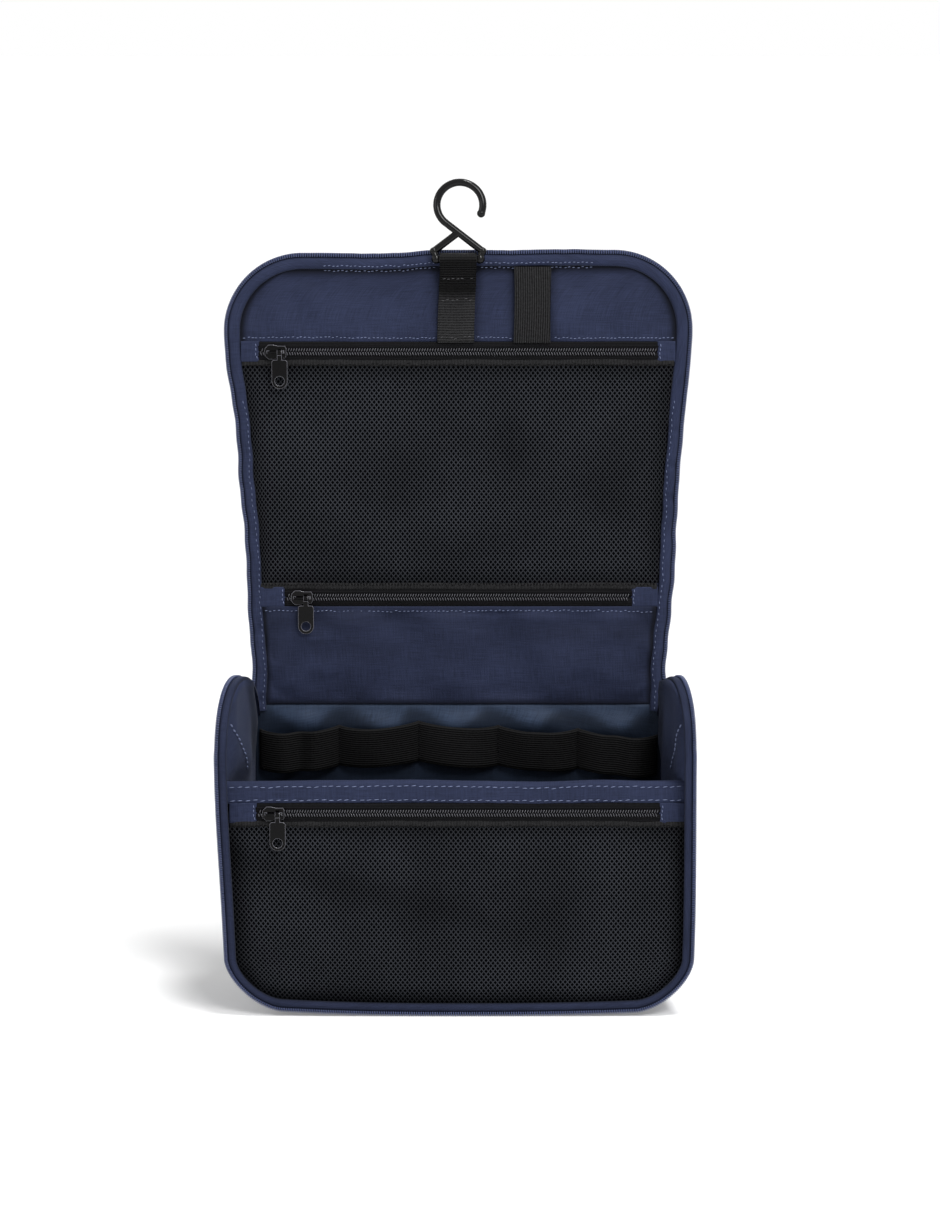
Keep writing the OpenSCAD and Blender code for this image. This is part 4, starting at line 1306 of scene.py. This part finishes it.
def pocket_front():
    """Front of the lid's lower pocket, with creases and painted shade in streaks under its zip, settled as loose
    cloth.
    """
    top = node_box("pocket_panel_upper")[1][2]
    zs = spread(PANEL_Z, top + 0.3, 64)

    def slack(x, z, u, v):
        up = (z - FOLD_Z) / (top - FOLD_Z)
        free = np.clip((1 - u ** 6) * ease(up * 3.5) * ease((1 - up) * 9), 0, 1)
        near = np.exp(-((1 - np.abs(u)) * 107 / 9) ** 2)
        pucker = 0.5 * near * ripple(z, np.sign(x) * 30, 55, 9, 22) * ease(up * 8)
        crease = 0.3 * np.abs(ripple(x * 0.2, z * 3.2, 57, 30, 60)) * ease((up - 0.5) / 0.2)
        belly = free * (1.2 - crease + 0.55 * ripple(x * 0.7, z * 1.4, 56, 22, 70))
        return LID_Y - 0.5 - belly - 1.3 * up - pucker - 0.6 * ease((up - 0.93) / 0.05)

    # Painted shade in the recess along its edges, and darker towards the top in streaks.
    def painted_shade(grid):
        x, _, z = np.moveaxis(grid, 2, 0)
        gap = np.minimum(inner_half(z) - np.abs(x), z - PANEL_Z)
        streak = ripple(x * 0.15, z * 3, 58, 20, 50)
        upper = ease((z - PANEL_Z - 10) / 40) * (0.3 + 0.07 * streak)
        return 0.75 * (1 - ease(gap / 4.2)) + 0.15 * (1 - ease(gap / 22)) + 0.02 + upper

    def held(grid):
        x, _, z = np.moveaxis(grid, 2, 0)
        return (inner_half(z) - np.abs(x) < 3) | (z < PANEL_Z + 3) | (z > top - 3)

    sheet, loose = xz_sheet(inner_half, zs, 130, slack), Loose(held, 0.015, 1.5)
    panel = cloth("lid_pocket_front", [sheet], "navy", FRONT, thick=0.6, seam=painted_shade, loose=loose)
    bend(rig.replaces(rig.slot(panel, "navy_cloth"), "pocket_panel_lower", "pocket_panel_upper"), MIDDLE)
    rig.sheet(panel, (0.212, (zs[-1] - zs[0]) * MM), "stretched", ["lid_pad_lower", "lid_pad_middle"])


class BAG_OT_pockets(bpy.types.Operator):
    """Cloth panels of the lid: the top panel, the net and its backing, and the lower pocket's front"""

    bl_idname = "bag.pockets"
    bl_label = "Lid panels and net pocket"

    def execute(self, context):
        top_panel()
        pocket_backing()
        low, high = node_box("lid_mesh_lower")[0][2], node_box("lid_mesh_upper")[1][2] + 0.4
        mesh = net("lid_net", inner_half, low, high, lid_net_y, context.scene.bag_sizes)
        bend(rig.replaces(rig.slot(mesh, "mesh"), "lid_mesh_lower", "lid_mesh_upper"), UPPER)
        pocket_front()
        return {"FINISHED"}


def pocket_tape(prefix, body):
    """The two halves of a pocket zip's tape, each with a raised cord beside the coil."""
    low, high = node_box(prefix + "_zip_tape")
    coil_low, coil_high = node_box(prefix + "_zip_coil")
    middle = (coil_low[2] + coil_high[2]) / 2
    xs = np.linspace(low[0] - 1, high[0] + 1, 120)
    profile = [(0.3, 0.25), (0.7, 0), (2.3, 0.0), (2.75, -0.28), (3.2, 0.05), (4.0, 0.1), (5.4, 0.15)]
    across, rise = (column[:, None] for column in np.array(profile).T)
    patches = []
    for side in (-1, 1):
        z = middle + side * across + 0.1 * ripple(xs, side * 40, 71, 40, 90)
        y = low[1] + rise + 0.12 * ripple(xs, side * 9, 72, 12, 40) * (across > 3)
        patches.append(np.stack([np.broadcast_to(xs, z.shape), y, z], -1))
    tape = cloth(prefix + "_tape_cloth", patches, "tape", FRONT, thick=0.5)
    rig.ride(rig.replaces(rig.slot(tape, "black_band"), prefix + "_zip_tape"), body)
    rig.sheet(tape, ((high[0] - low[0]) * MM, 0.0102), "stretched", [prefix + "_zip_coil_links"])


def pocket_links(prefix, body, pitch):
    """The links of a pocket zip's coil, in two slanting rows."""
    low, high = node_box(prefix + "_zip_coil")
    _, face, middle = (low + high) / 2
    count, size = int((high[0] - low[0]) / pitch), high[2] - middle - 0.35
    groups = []
    for side in (-1, 1):
        origin = np.zeros((count, 3))
        origin[:, 0] = low[0] + pitch * (np.arange(count) + 0.5) + (side + 1) * pitch / 4
        origin[:, 1], origin[:, 2] = face, middle + side * size / 2
        groups.append(placed(origin, (0.34, 0, 0.94 * side), FRONT))
    links = tiled(prefix + "_zip_coil_links", lozenge(size * 1.1, 0.64, 1.3), groups, "coil")
    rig.ride(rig.replaces(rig.slot(links, "coil"), prefix + "_zip_coil"), body)


def pocket_tabs(prefix, body):
    """The folded cloth over both ends of a pocket zip, with a row of stitches each."""
    low, high = node_box(prefix + "_zip_tabs")
    tape_end = node_box(prefix + "_zip_tape")[1][0]
    inner, outer, tall = tape_end + 0.3, high[0] + 0.6, high[2] - low[2] + 0.9
    u, v = np.meshgrid(np.linspace(0, 1, 16), np.linspace(0, 1, 14))
    patches, ends = [], []
    for side in (-1, 1):
        x, z = side * (inner + (outer - inner) * u), low[2] - 0.3 + tall * v
        waves = 0.14 * ripple(x, z, 75, 4, 10) * np.clip(u * 4, 0, 1) * np.sin(math.pi * v)
        patches.append(np.stack([x, low[1] - 0.1 + 0.5 * (1 - rounded(u, 0.2)) + waves, z], -1))
        x, y = side * (tape_end + 1.6), low[1] - 0.5
        line = [(x, y, low[2] + 0.8), (x + 0.3 * side, y, high[2] - 0.6)]
        ends.append(stitches(line, 2.0, 0.15, 77 + side))
    tabs = cloth(prefix + "_tab_cloth", patches, "navy", FRONT, thick=0.7)
    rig.ride(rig.replaces(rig.slot(tabs, "navy_cloth"), prefix + "_zip_tabs"), body)
    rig.sheet(tabs, (2 * (high[0] - tape_end) * MM, tall * MM), "folded", [prefix + "_tape_cloth"])
    seams = tiled(prefix + "_tab_seams", lozenge(1.6, 0.45, 0.4), ends, "thread")
    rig.ride(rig.slot(seams, "navy_cloth"), body)


def net_binding(prefix, body, edge, seed):
    """Narrow woven strip that binds a net's edge above or below a zip, with its seam, which zigzags above."""
    low, high = node_box(prefix + "_zip_tape")
    middle = (low[2] if edge < 0 else high[2]) + edge * 0.9
    half = node_box(prefix + "_zip_tabs")[1][0] + (0.3 if body == "tub" else 0)
    face = low[1] - 0.25
    xs, rows = np.linspace(-half, half, 150), np.linspace(-0.5, 0.5, 7)[:, None]
    round_edge = 0.5 * (1 - np.sqrt(np.clip(1 - (2 * rows) ** 6, 0, 1)))
    z = middle + rows * 3.4 + 0.18 * ripple(xs, 0, 80 + seed, 25, 70)
    y = face + round_edge + 0.12 * ripple(xs, 5, 81 + seed, 10, 30)
    grid = np.stack([np.broadcast_to(xs, z.shape), y, z], -1)
    strip = cloth(prefix + "_net_binding", [grid], "binding", FRONT, thick=0.4)
    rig.ride(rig.slot(strip, "black_band"), body)
    line = [(x, face - 0.3, middle + edge * 1.1) for x in (1 - half, half - 1)]
    places = stitches(line, 2.4 if edge < 0 else 1.7, 0.12, 90 + seed)
    if edge > 0:
        tilt = np.tile((0.55, 0, 0.83), (len(places[0]), 1))
        tilt[::2, 0] *= -1
        places = placed(places[0], tilt, FRONT)
    seam = tiled(prefix + "_net_binding_seam", lozenge(1.8, 0.5, 0.42), [places], "black_thread")
    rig.ride(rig.slot(seam, "black_band"), body)
    return [strip, seam]


class BAG_OT_zips(bpy.types.Operator):
    """The three pocket zips with their tapes, coils, end tabs and bindings"""

    bl_idname = "bag.zips"
    bl_label = "Pocket zips"

    def execute(self, context):
        for prefix, body in (("front", "tub"), ("lower", "lid_middle"), ("upper", "lid_upper")):
            pocket_tape(prefix, body)
            pocket_links(prefix, body, context.scene.bag_sizes.link_pitch / MM)
            pocket_tabs(prefix, body)
        front = net_binding("front", "tub", -1, 0)
        lid = net_binding("upper", "lid_upper", -1, 2) + net_binding("lower", "lid_middle", 1, 4)
        for name, trim, rests in (("front_net", front, "front_hem_cloth"), ("lid_net", lid, "lid_pad_upper")):
            mesh = bpy.data.objects[name]
            width, _, tall = (float(s) for s in np.array(mesh.bound_box[6]) - np.array(mesh.bound_box[0]))
            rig.sheet(mesh, (width, tall), "stretched", [rests], 0.62 * width * tall, trim)
        return {"FINISHED"}


def tub_zip(pitch, shape):
    """Tape and teeth of the main zip round the tub's rim and domes."""
    points, inward, outward = rim_run(1.2)
    profile = [
        (1.2, -1.2), (0.5, -0.6), (0.3, -0.2), (0.8, 0.0), (2.0, 0.0), (2.4, 0.2),
        (3.1, 0.55), (4.4, 0.65), (5.6, 0.45), (6.2, 0.0), (6.3, -1.4),
    ]
    # Painted shade across the tape: under the teeth, in the channel at its inner edge, and less on its raised band.
    painted_shade = np.array([0.25, 0.4, 0.75, 0.95, 0.95, 0.7, 0.3, 0.22, 0.3, 0.65, 1])
    tape = cloth("main_tape_tub", [swept(points, inward, outward, profile)], "navy", seam=painted_shade)
    if tape.data.polygons[len(tape.data.polygons) // 2].normal.y > 0:
        in_edit(tape, (bpy.ops.mesh.flip_normals, {}))
    on_tub(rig.replaces(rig.slot(tape, "navy_cloth"), "main_zip_tape"))
    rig.sheet(tape, (TAPE_W, run_length(points) * MM), "stretched", ["tub_wall"])
    points, inward, outward = rim_run(pitch)
    origin = points + inward * 0.95 + outward * 0.6
    places = (origin, np.cross(inward, outward), inward, outward)
    teeth = tiled("main_teeth_tub", shape, [places], "teeth")
    on_tub(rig.replaces(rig.slot(teeth, "coil"), "main_zip_coil"))


def lid_zip(zone, pitch, shape):
    """Tape and teeth of the main zip along the lid's edge within one zone, which belong to the rim there."""
    profile = [(0.2, 0.3), (0.05, -0.4), (0.4, -1.0), (1.4, -1.2), (2.3, -1.3), (3.0, -1.4)]
    # Painted shade across the band, growing from its outer edge inwards.
    painted_shade = np.array([0, 0.2, 0.6, 0.95, 0.95, 1])
    runs = lid_runs(zone, 2.0)
    patches = [swept(points, inward, REAR, profile) for points, inward in runs]
    band = cloth(f"lid_tape_{zone.name}", patches, "navy", FRONT, seam=painted_shade)
    bend(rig.replaces(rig.slot(band, "navy_cloth"), f"lid_{zone.name}_zip"), zone)
    groups = []
    for points, inward in lid_runs(zone, pitch):
        origin = (points[1:] + points[:-1]) / 2 + inward[1:] * 0.85 + FRONT * 1.5
        groups.append(placed(origin, np.cross(inward[1:], FRONT), FRONT))
    teeth = bend(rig.slot(tiled(f"lid_teeth_{zone.name}", shape, groups, "teeth"), "coil"), zone)
    length = sum(run_length(points) for points, _ in runs)
    rim = bpy.data.objects[f"lid_rim_{zone.name}"]
    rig.sheet(rim, (TAPE_W, length * MM), "folded", [f"lid_pad_{zone.name}"], None, [band, teeth])


def zip_tails(pitch):
    """Tape and links of the main zip's two tails on the sides, where its sliders are parked."""
    low, high = node_box("main_zip_tails")
    zs, across = np.linspace(low[2], high[2], 24), np.linspace(-5, 5, 13)[:, None]
    at = np.arange(low[2] + 0.6, high[2], pitch)
    patches, ends = [], []
    for side, slider in ((-1, "left_main_slider"), (1, "right_main_slider")):
        y = sum(node_box(slider))[1] / 2
        lean = np.array([FLARE * -side, 1.0, 0]) / math.hypot(1, FLARE)
        face = np.array([side, FLARE, 0.0]) / math.hypot(1, FLARE)
        start = np.array([side * half_w(y), y, 0.0])
        bulge = 1.2 + 0.25 * np.exp(-(across / 2.2) ** 2) + 0.2 * ripple(zs, side, 97, 9, 20)
        grid = start + across[..., None] * lean + bulge[..., None] * face
        grid[..., 2] = zs
        patches.append(grid)
        for row in (-1, 1):
            origin = np.tile(start + lean * row * 1.1 + face * 2.3, (len(at), 1))
            origin[:, 2] = at + (row + 1) * 0.3
            ends.append(placed(origin, lean * row * 0.94 + (0, 0, 0.34), face))
    tails = cloth("main_tail_tape", patches, "tape", thick=0.6)
    on_tub(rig.replaces(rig.slot(tails, "black_band"), "main_zip_tails"))
    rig.sheet(tails, (0.02, (high[2] - low[2]) * MM), "stretched", ["tub_wall"])
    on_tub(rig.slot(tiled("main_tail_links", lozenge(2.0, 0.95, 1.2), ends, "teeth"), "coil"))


class BAG_OT_main_zip(bpy.types.Operator):
    """Both halves of the main zip: tape and teeth round the tub's rim and domes, and round the lid's edge"""

    bl_idname = "bag.main_zip"
    bl_label = "Main zip"

    def execute(self, context):
        sizes = context.scene.bag_sizes
        pitch, shape = sizes.tooth_pitch / MM, tooth()
        tub_zip(pitch, shape)
        for zone in ZONES:
            lid_zip(zone, pitch, shape)
        zip_tails(sizes.link_pitch / MM)
        return {"FINISHED"}


def hanger_band():
    """Webbing that runs up behind the hook's bar, over it and down again in front."""
    low, high = node_box("hanger_webbing")
    foot, bar = low[2], HINGE["hook_swing"]
    turn = np.linspace(-0.15, math.pi + 0.25, 22)
    wrap = np.stack([bar[1] + 2.9 * np.cos(turn), bar[2] + 2.9 * np.sin(turn)], 1)
    rear = [(-1.9, foot), (-2.0, foot + 10), (-2.1, foot + 25), (-3.0, foot + 37)]
    front = [
        (-7.3, bar[2] - 5), (-5.0, bar[2] - 9.7), (-3.4, bar[2] - 13.7), (-2.9, bar[2] - 19),
        (-2.9, foot + 12), (-2.9, foot + 4), (-2.8, foot - 0.3),
    ]
    line = resampled(np.concatenate([np.add(rear, (LID_Y, 0)), wrap, np.add(front, (LID_Y, 0))]), 0.7)
    y, z = line[:, :1], line[:, 1:]
    u, run = np.linspace(-1, 1, 15), np.linspace(0, 1, len(line))[:, None]
    width = high[0] * (1 + 0.012 * ripple(z, run * 40, 101, 6, 20))
    x = HANGER_SWAY * ease((bar[2] - z) / HANGER_DROP) + u * width
    y = y + 0.15 * ripple(x, z, 102, 10, 24) - 0.12 * (1 - u ** 4)
    grid = np.stack([x, y, np.broadcast_to(z, x.shape)], -1)
    webbing = cloth("hanger_band", [grid], "webbing", thick=0.8)
    face_outwards(webbing)
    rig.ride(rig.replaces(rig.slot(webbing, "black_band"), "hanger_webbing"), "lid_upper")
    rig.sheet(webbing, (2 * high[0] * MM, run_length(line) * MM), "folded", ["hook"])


def elastic_keeper():
    """Elastic strap beside the webbing, sewn at both ends and narrower in the middle."""
    low, high = node_box("elastic_strap")
    zs = np.linspace(low[2] - 0.6, high[2] + 0.8, 40)
    u, v = np.linspace(-1, 1, 21), np.linspace(0, 1, 40)[:, None]
    middle, half = (high[0] + low[0]) / 2, (high[0] - low[0]) / 2
    x = middle + u * half * (1 - 0.03 * np.sin(math.pi * v)) + 0.35 * np.sin(2.2 * v)
    y = high[1] - 0.6 - 0.9 * np.sin(math.pi * v) ** 0.7 - 0.15 * (1 - u ** 4)
    grid = np.stack([x, y, np.broadcast_to(zs[:, None], x.shape)], -1)
    strap = cloth("elastic_keeper", [grid], "strap", FRONT, thick=0.9)
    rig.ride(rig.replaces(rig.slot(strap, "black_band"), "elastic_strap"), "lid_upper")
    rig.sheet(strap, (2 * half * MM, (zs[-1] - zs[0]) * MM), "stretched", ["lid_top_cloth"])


def hanger_seams():
    """Three rows of stitches across the webbing."""
    low, high = node_box("hanger_webbing")
    foot, top = low[2], HINGE["hook_swing"][2]
    rows = []
    for seed, z, depth in ((111, top - 10.5, 5.3), (112, top - 22, 3.45), (113, foot + 2.2, 3.45)):
        shift = HANGER_SWAY * float(ease((top - z) / HANGER_DROP))
        y, half = LID_Y - depth, high[0] - 1.2
        line = [(shift - half, y, z), (shift + half, y, z + 0.2)]
        rows.append(stitches(line, 2.3, 0.15, seed, (0, -1, 0.1), 0.1))
    seams = tiled("hanger_seams", lozenge(1.7, 0.45, 0.4), rows, "grey_thread")
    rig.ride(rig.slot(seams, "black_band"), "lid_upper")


class BAG_OT_straps(bpy.types.Operator):
    """Webbing loop that carries the hook, and the elastic strap beside it"""

    bl_idname = "bag.straps"
    bl_label = "Webbing and strap"

    def execute(self, context):
        hanger_band()
        elastic_keeper()
        hanger_seams()
        return {"FINISHED"}


def rim_stitches(zone, shape, pitch):
    """Stitches along the rim band within one zone, and in two rows along the lid's top."""
    places = []
    for points, inward in lid_runs(zone, 1.0):
        x, _, z = points.T
        inset = 6.6 + 0.4 * ripple(z, x * 0.2, 121, 25, 70)
        line = points + inward * inset[:, None] + FRONT * 3.0
        for side in (-1, 1):
            part = line[(z < SIDE_STITCH_TOP) & (x * side > 0)]
            if len(part):
                places.append(stitches(part, pitch * 0.8, 0.12, 122 + ZONES.index(zone)))
    if zone is UPPER:
        for inset, depth, seed in ((6.6, 3.0, 131), (9.2, 1.7, 132)):
            row = [(x, LID_Y - depth, LID_TOP - inset) for x in np.linspace(-72, 72, 60)]
            places.append(stitches_beside(np.array(row), pitch * 0.6, seed, [(-11.5, 10.5)]))
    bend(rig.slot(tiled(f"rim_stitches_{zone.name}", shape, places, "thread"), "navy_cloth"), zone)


def panel_stitches(shape, pitch):
    """Stitches along the foot of the lid's top panel and along the top of its lower pocket."""
    low, high = node_box("lid_top_panel")
    xs = np.linspace(-high[0] + 1, high[0] - 1, 90)
    row = [(x, LID_Y - 1.85, low[2] + 2.2 + 0.2 * math.sin(x / 17)) for x in xs]
    places = stitches_beside(row, pitch * 0.55, 141, [(-11.5, 9.5), (29, 50)])
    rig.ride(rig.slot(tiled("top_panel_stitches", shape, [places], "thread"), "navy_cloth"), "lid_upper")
    half, _, top = node_box("pocket_panel_upper")[1]
    xs = np.linspace(-half + 2, half - 2, 90)
    row = [(x, LID_Y - 2.9, top - 2.2 + 0.25 * math.sin(x / 23)) for x in xs]
    places = stitches(row, pitch * 0.6, 0.06, 142)
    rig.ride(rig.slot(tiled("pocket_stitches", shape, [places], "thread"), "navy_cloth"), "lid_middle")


def hem_stitches(shape, pitch):
    """Two rows of stitches along the front hem, which follow its waves."""
    low, high = node_box("front_hem")
    xs = np.linspace(-high[0] + 2, high[0] - 2, 120)
    sway, pucker = ripple(xs, 0, *HEM_SWAY), ripple(xs, 0, *HEM_PUCKER)
    face = low[1] - 0.85 + 0.35 * sway + 0.14 * pucker
    upper, lower = high[2] - 2.0 + 0.3 * sway, np.full(120, low[2] + 1.7)
    rows = [stitches(np.stack([xs, face, z], 1), pitch, 0.05, 150 + k) for k, z in enumerate((upper, lower))]
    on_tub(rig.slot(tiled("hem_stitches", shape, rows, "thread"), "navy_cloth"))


def gusset_stitches(shape, pitch):
    """A slanting row of stitches inside each side wall."""
    rows = []
    for side in (-1, 1):
        y, z = np.linspace(-2, -25, 30), np.linspace(126, 156, 30)
        line = np.stack([side * (half_w(y) - 2.2 - gusset_in(side, y, z)), y, z], 1)
        rows.append(stitches(line, pitch, 0.1, 160 + side, (-side, 0, 0)))
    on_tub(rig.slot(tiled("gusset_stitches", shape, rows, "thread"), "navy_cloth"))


class BAG_OT_seams(bpy.types.Operator):
    """Pale topstitching along the rim, panels, hem and gussets"""

    bl_idname = "bag.seams"
    bl_label = "Topstitching"

    def execute(self, context):
        sizes = context.scene.bag_sizes
        pitch, length, thread = sizes.stitch_pitch / MM, sizes.stitch_len / MM, sizes.thread / MM
        small = lozenge(length * 0.52, thread * 0.85, thread * 0.7)
        for zone in ZONES:
            rim_stitches(zone, small, pitch)
        panel_stitches(small, pitch)
        hem_stitches(lozenge(length, thread, thread * 0.8), pitch)
        gusset_stitches(lozenge(length, thread * 2.2, thread * 2.2), pitch)
        return {"FINISHED"}


class BAG_OT_hardware(bpy.types.Operator):
    """Enamel of the CAD sliders and pulls with painted highlights on their bevelled edges, and the moulded hook's
    gloss
    """

    bl_idname = "bag.hardware"
    bl_label = "Sliders, pulls and hook"

    def execute(self, context):
        for name, node in frame["nodes"].items():
            if name.endswith(("_slider", "_pull", "hook")):
                node.data.materials.clear()
                node.data.materials.append(FINISHES["gloss" if name == "hook" else "metal"])
            if name.endswith(("_slider", "_pull")):
                # The bevelled edges take the light enamel, a painted highlight.
                node.data.materials.append(FINISHES["worn"])
                node.modifiers.new("joined", "WELD").merge_threshold = 0.002 * MM
                flat = node.modifiers.new("flat_faces", "DECIMATE")
                flat.decimate_type, flat.angle_limit = "DISSOLVE", math.radians(1)
                edge = node.modifiers.new("worn_edges", "BEVEL")
                edge.width, edge.segments, edge.angle_limit = 0.2 * MM, 2, math.radians(40)
                edge.use_clamp_overlap, edge.harden_normals, edge.material = False, True, 1
        return {"FINISHED"}


def make_floor():
    """Pale floor that keeps the bag's shadow and looks nearly white to the camera."""
    bpy.ops.object.select_all(action="DESELECT")
    bpy.ops.mesh.primitive_plane_add(size=60, location=(0, 0, -0.0004))
    floor = bpy.context.active_object
    floor.name = "floor"
    bpy.ops.object.transform_apply(location=True)
    f = Finish("pale_floor", {"Roughness": 0.9, "Specular IOR Level": 0.1})
    f.done(f.shade((0.88, 0.88, 0.88), 0.99, 1.01, f.noise(f.space(), 3, 2)))
    glow = f.node("Emission", {}, {"Strength": f.seen() * 0.21})
    both = f.node("AddShader", {}, {0: Value(f, f.shader.outputs[0]), 1: glow})
    f.join(f.tree.nodes["Material Output"].inputs["Surface"], both)
    floor.data.materials.append(f.material)
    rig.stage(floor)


def make_light(scene):
    """White surroundings, a broad sun and two soft boxes. Their places are in metres."""
    scene.world = bpy.data.worlds.new("studio")
    scene.world.use_nodes = True
    around = scene.world.node_tree.nodes["Background"]
    around.inputs["Color"].default_value = (1, 1, 1, 1)
    sky = Nodes(scene.world.node_tree)
    sky.join(around.inputs["Strength"], sky.seen() * 0.68 + 0.32)
    for kind, name, place, target, power, breadth, size in (
        ("SUN", "key", (0.62, -0.5, 2.6), (0, 0, 0), 2.0, "angle", 0.25),
        ("AREA", "front_box", (0.8, -1.7, 1.9), (0, 0, 0.3), 34.0, "size", 0.9),
        ("AREA", "left_box", (-1.4, -0.9, 1.1), (0, 0, 0.2), 5.0, "size", 0.8),
    ):
        lamp = bpy.data.lights.new(name, kind)
        lamp.energy = power
        setattr(lamp, breadth, size)
        light = bpy.data.objects.new(name, lamp)
        scene.collection.objects.link(light)
        light.location = place
        light.rotation_mode = "QUATERNION"
        light.rotation_quaternion = (Vector(target) - Vector(place)).to_track_quat("-Z", "Y")


class BAG_OT_stage(bpy.types.Operator):
    """Pale floor, soft studio light and the camera"""

    bl_idname = "bag.stage"
    bl_label = "Stage"

    def execute(self, context):
        scene = context.scene
        scene.view_settings.view_transform = "Standard"
        make_floor()
        make_light(scene)
        camera = bpy.data.objects.new("camera", bpy.data.cameras.new("camera"))
        scene.collection.objects.link(camera)
        camera.data.sensor_width, camera.data.lens, camera.data.clip_end = 36, 102.7, 200
        camera.location = (0.0063, -1.8147, 0.5339)
        camera.rotation_euler = (math.radians(80), 0, 0)
        scene.camera = camera
        return {"FINISHED"}


PIECES = (
    BAG_OT_wall, BAG_OT_back, BAG_OT_front, BAG_OT_loops, BAG_OT_lid, BAG_OT_pockets,
    BAG_OT_zips, BAG_OT_main_zip, BAG_OT_straps, BAG_OT_seams, BAG_OT_hardware, BAG_OT_stage,
)


class BAG_PT_pieces(bpy.types.Panel):
    """Lists the bag's pieces, sizes and colours"""

    bl_label = "Hanging toiletry bag"
    bl_idname = "BAG_PT_pieces"
    bl_space_type = "VIEW_3D"
    bl_region_type = "UI"
    bl_category = "Bag"

    def draw(self, context):
        for piece in PIECES:
            self.layout.operator(piece.bl_idname)
        scene = context.scene
        for kind, group in ((BagSizes, scene.bag_sizes), (BagColours, scene.bag_colours)):
            for name in kind.__annotations__:
                self.layout.prop(group, name)


CLASSES = (BagSizes, BagColours, *PIECES, BAG_PT_pieces)


def register():
    for c in CLASSES:
        bpy.utils.register_class(c)
    bpy.types.Scene.bag_sizes = bpy.props.PointerProperty(type=BagSizes)
    bpy.types.Scene.bag_colours = bpy.props.PointerProperty(type=BagColours)


def unregister():
    del bpy.types.Scene.bag_sizes, bpy.types.Scene.bag_colours
    for c in reversed(CLASSES):
        bpy.utils.unregister_class(c)


def main():
    register()
    bpy.ops.object.select_all(action="DESELECT")
    make_finishes(bpy.context.scene.bag_colours)
    for piece in PIECES:
        group, name = piece.bl_idname.split(".")
        getattr(getattr(bpy.ops, group), name)()
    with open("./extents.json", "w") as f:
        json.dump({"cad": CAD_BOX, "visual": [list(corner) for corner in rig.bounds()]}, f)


if __name__ == "__main__":
    main()
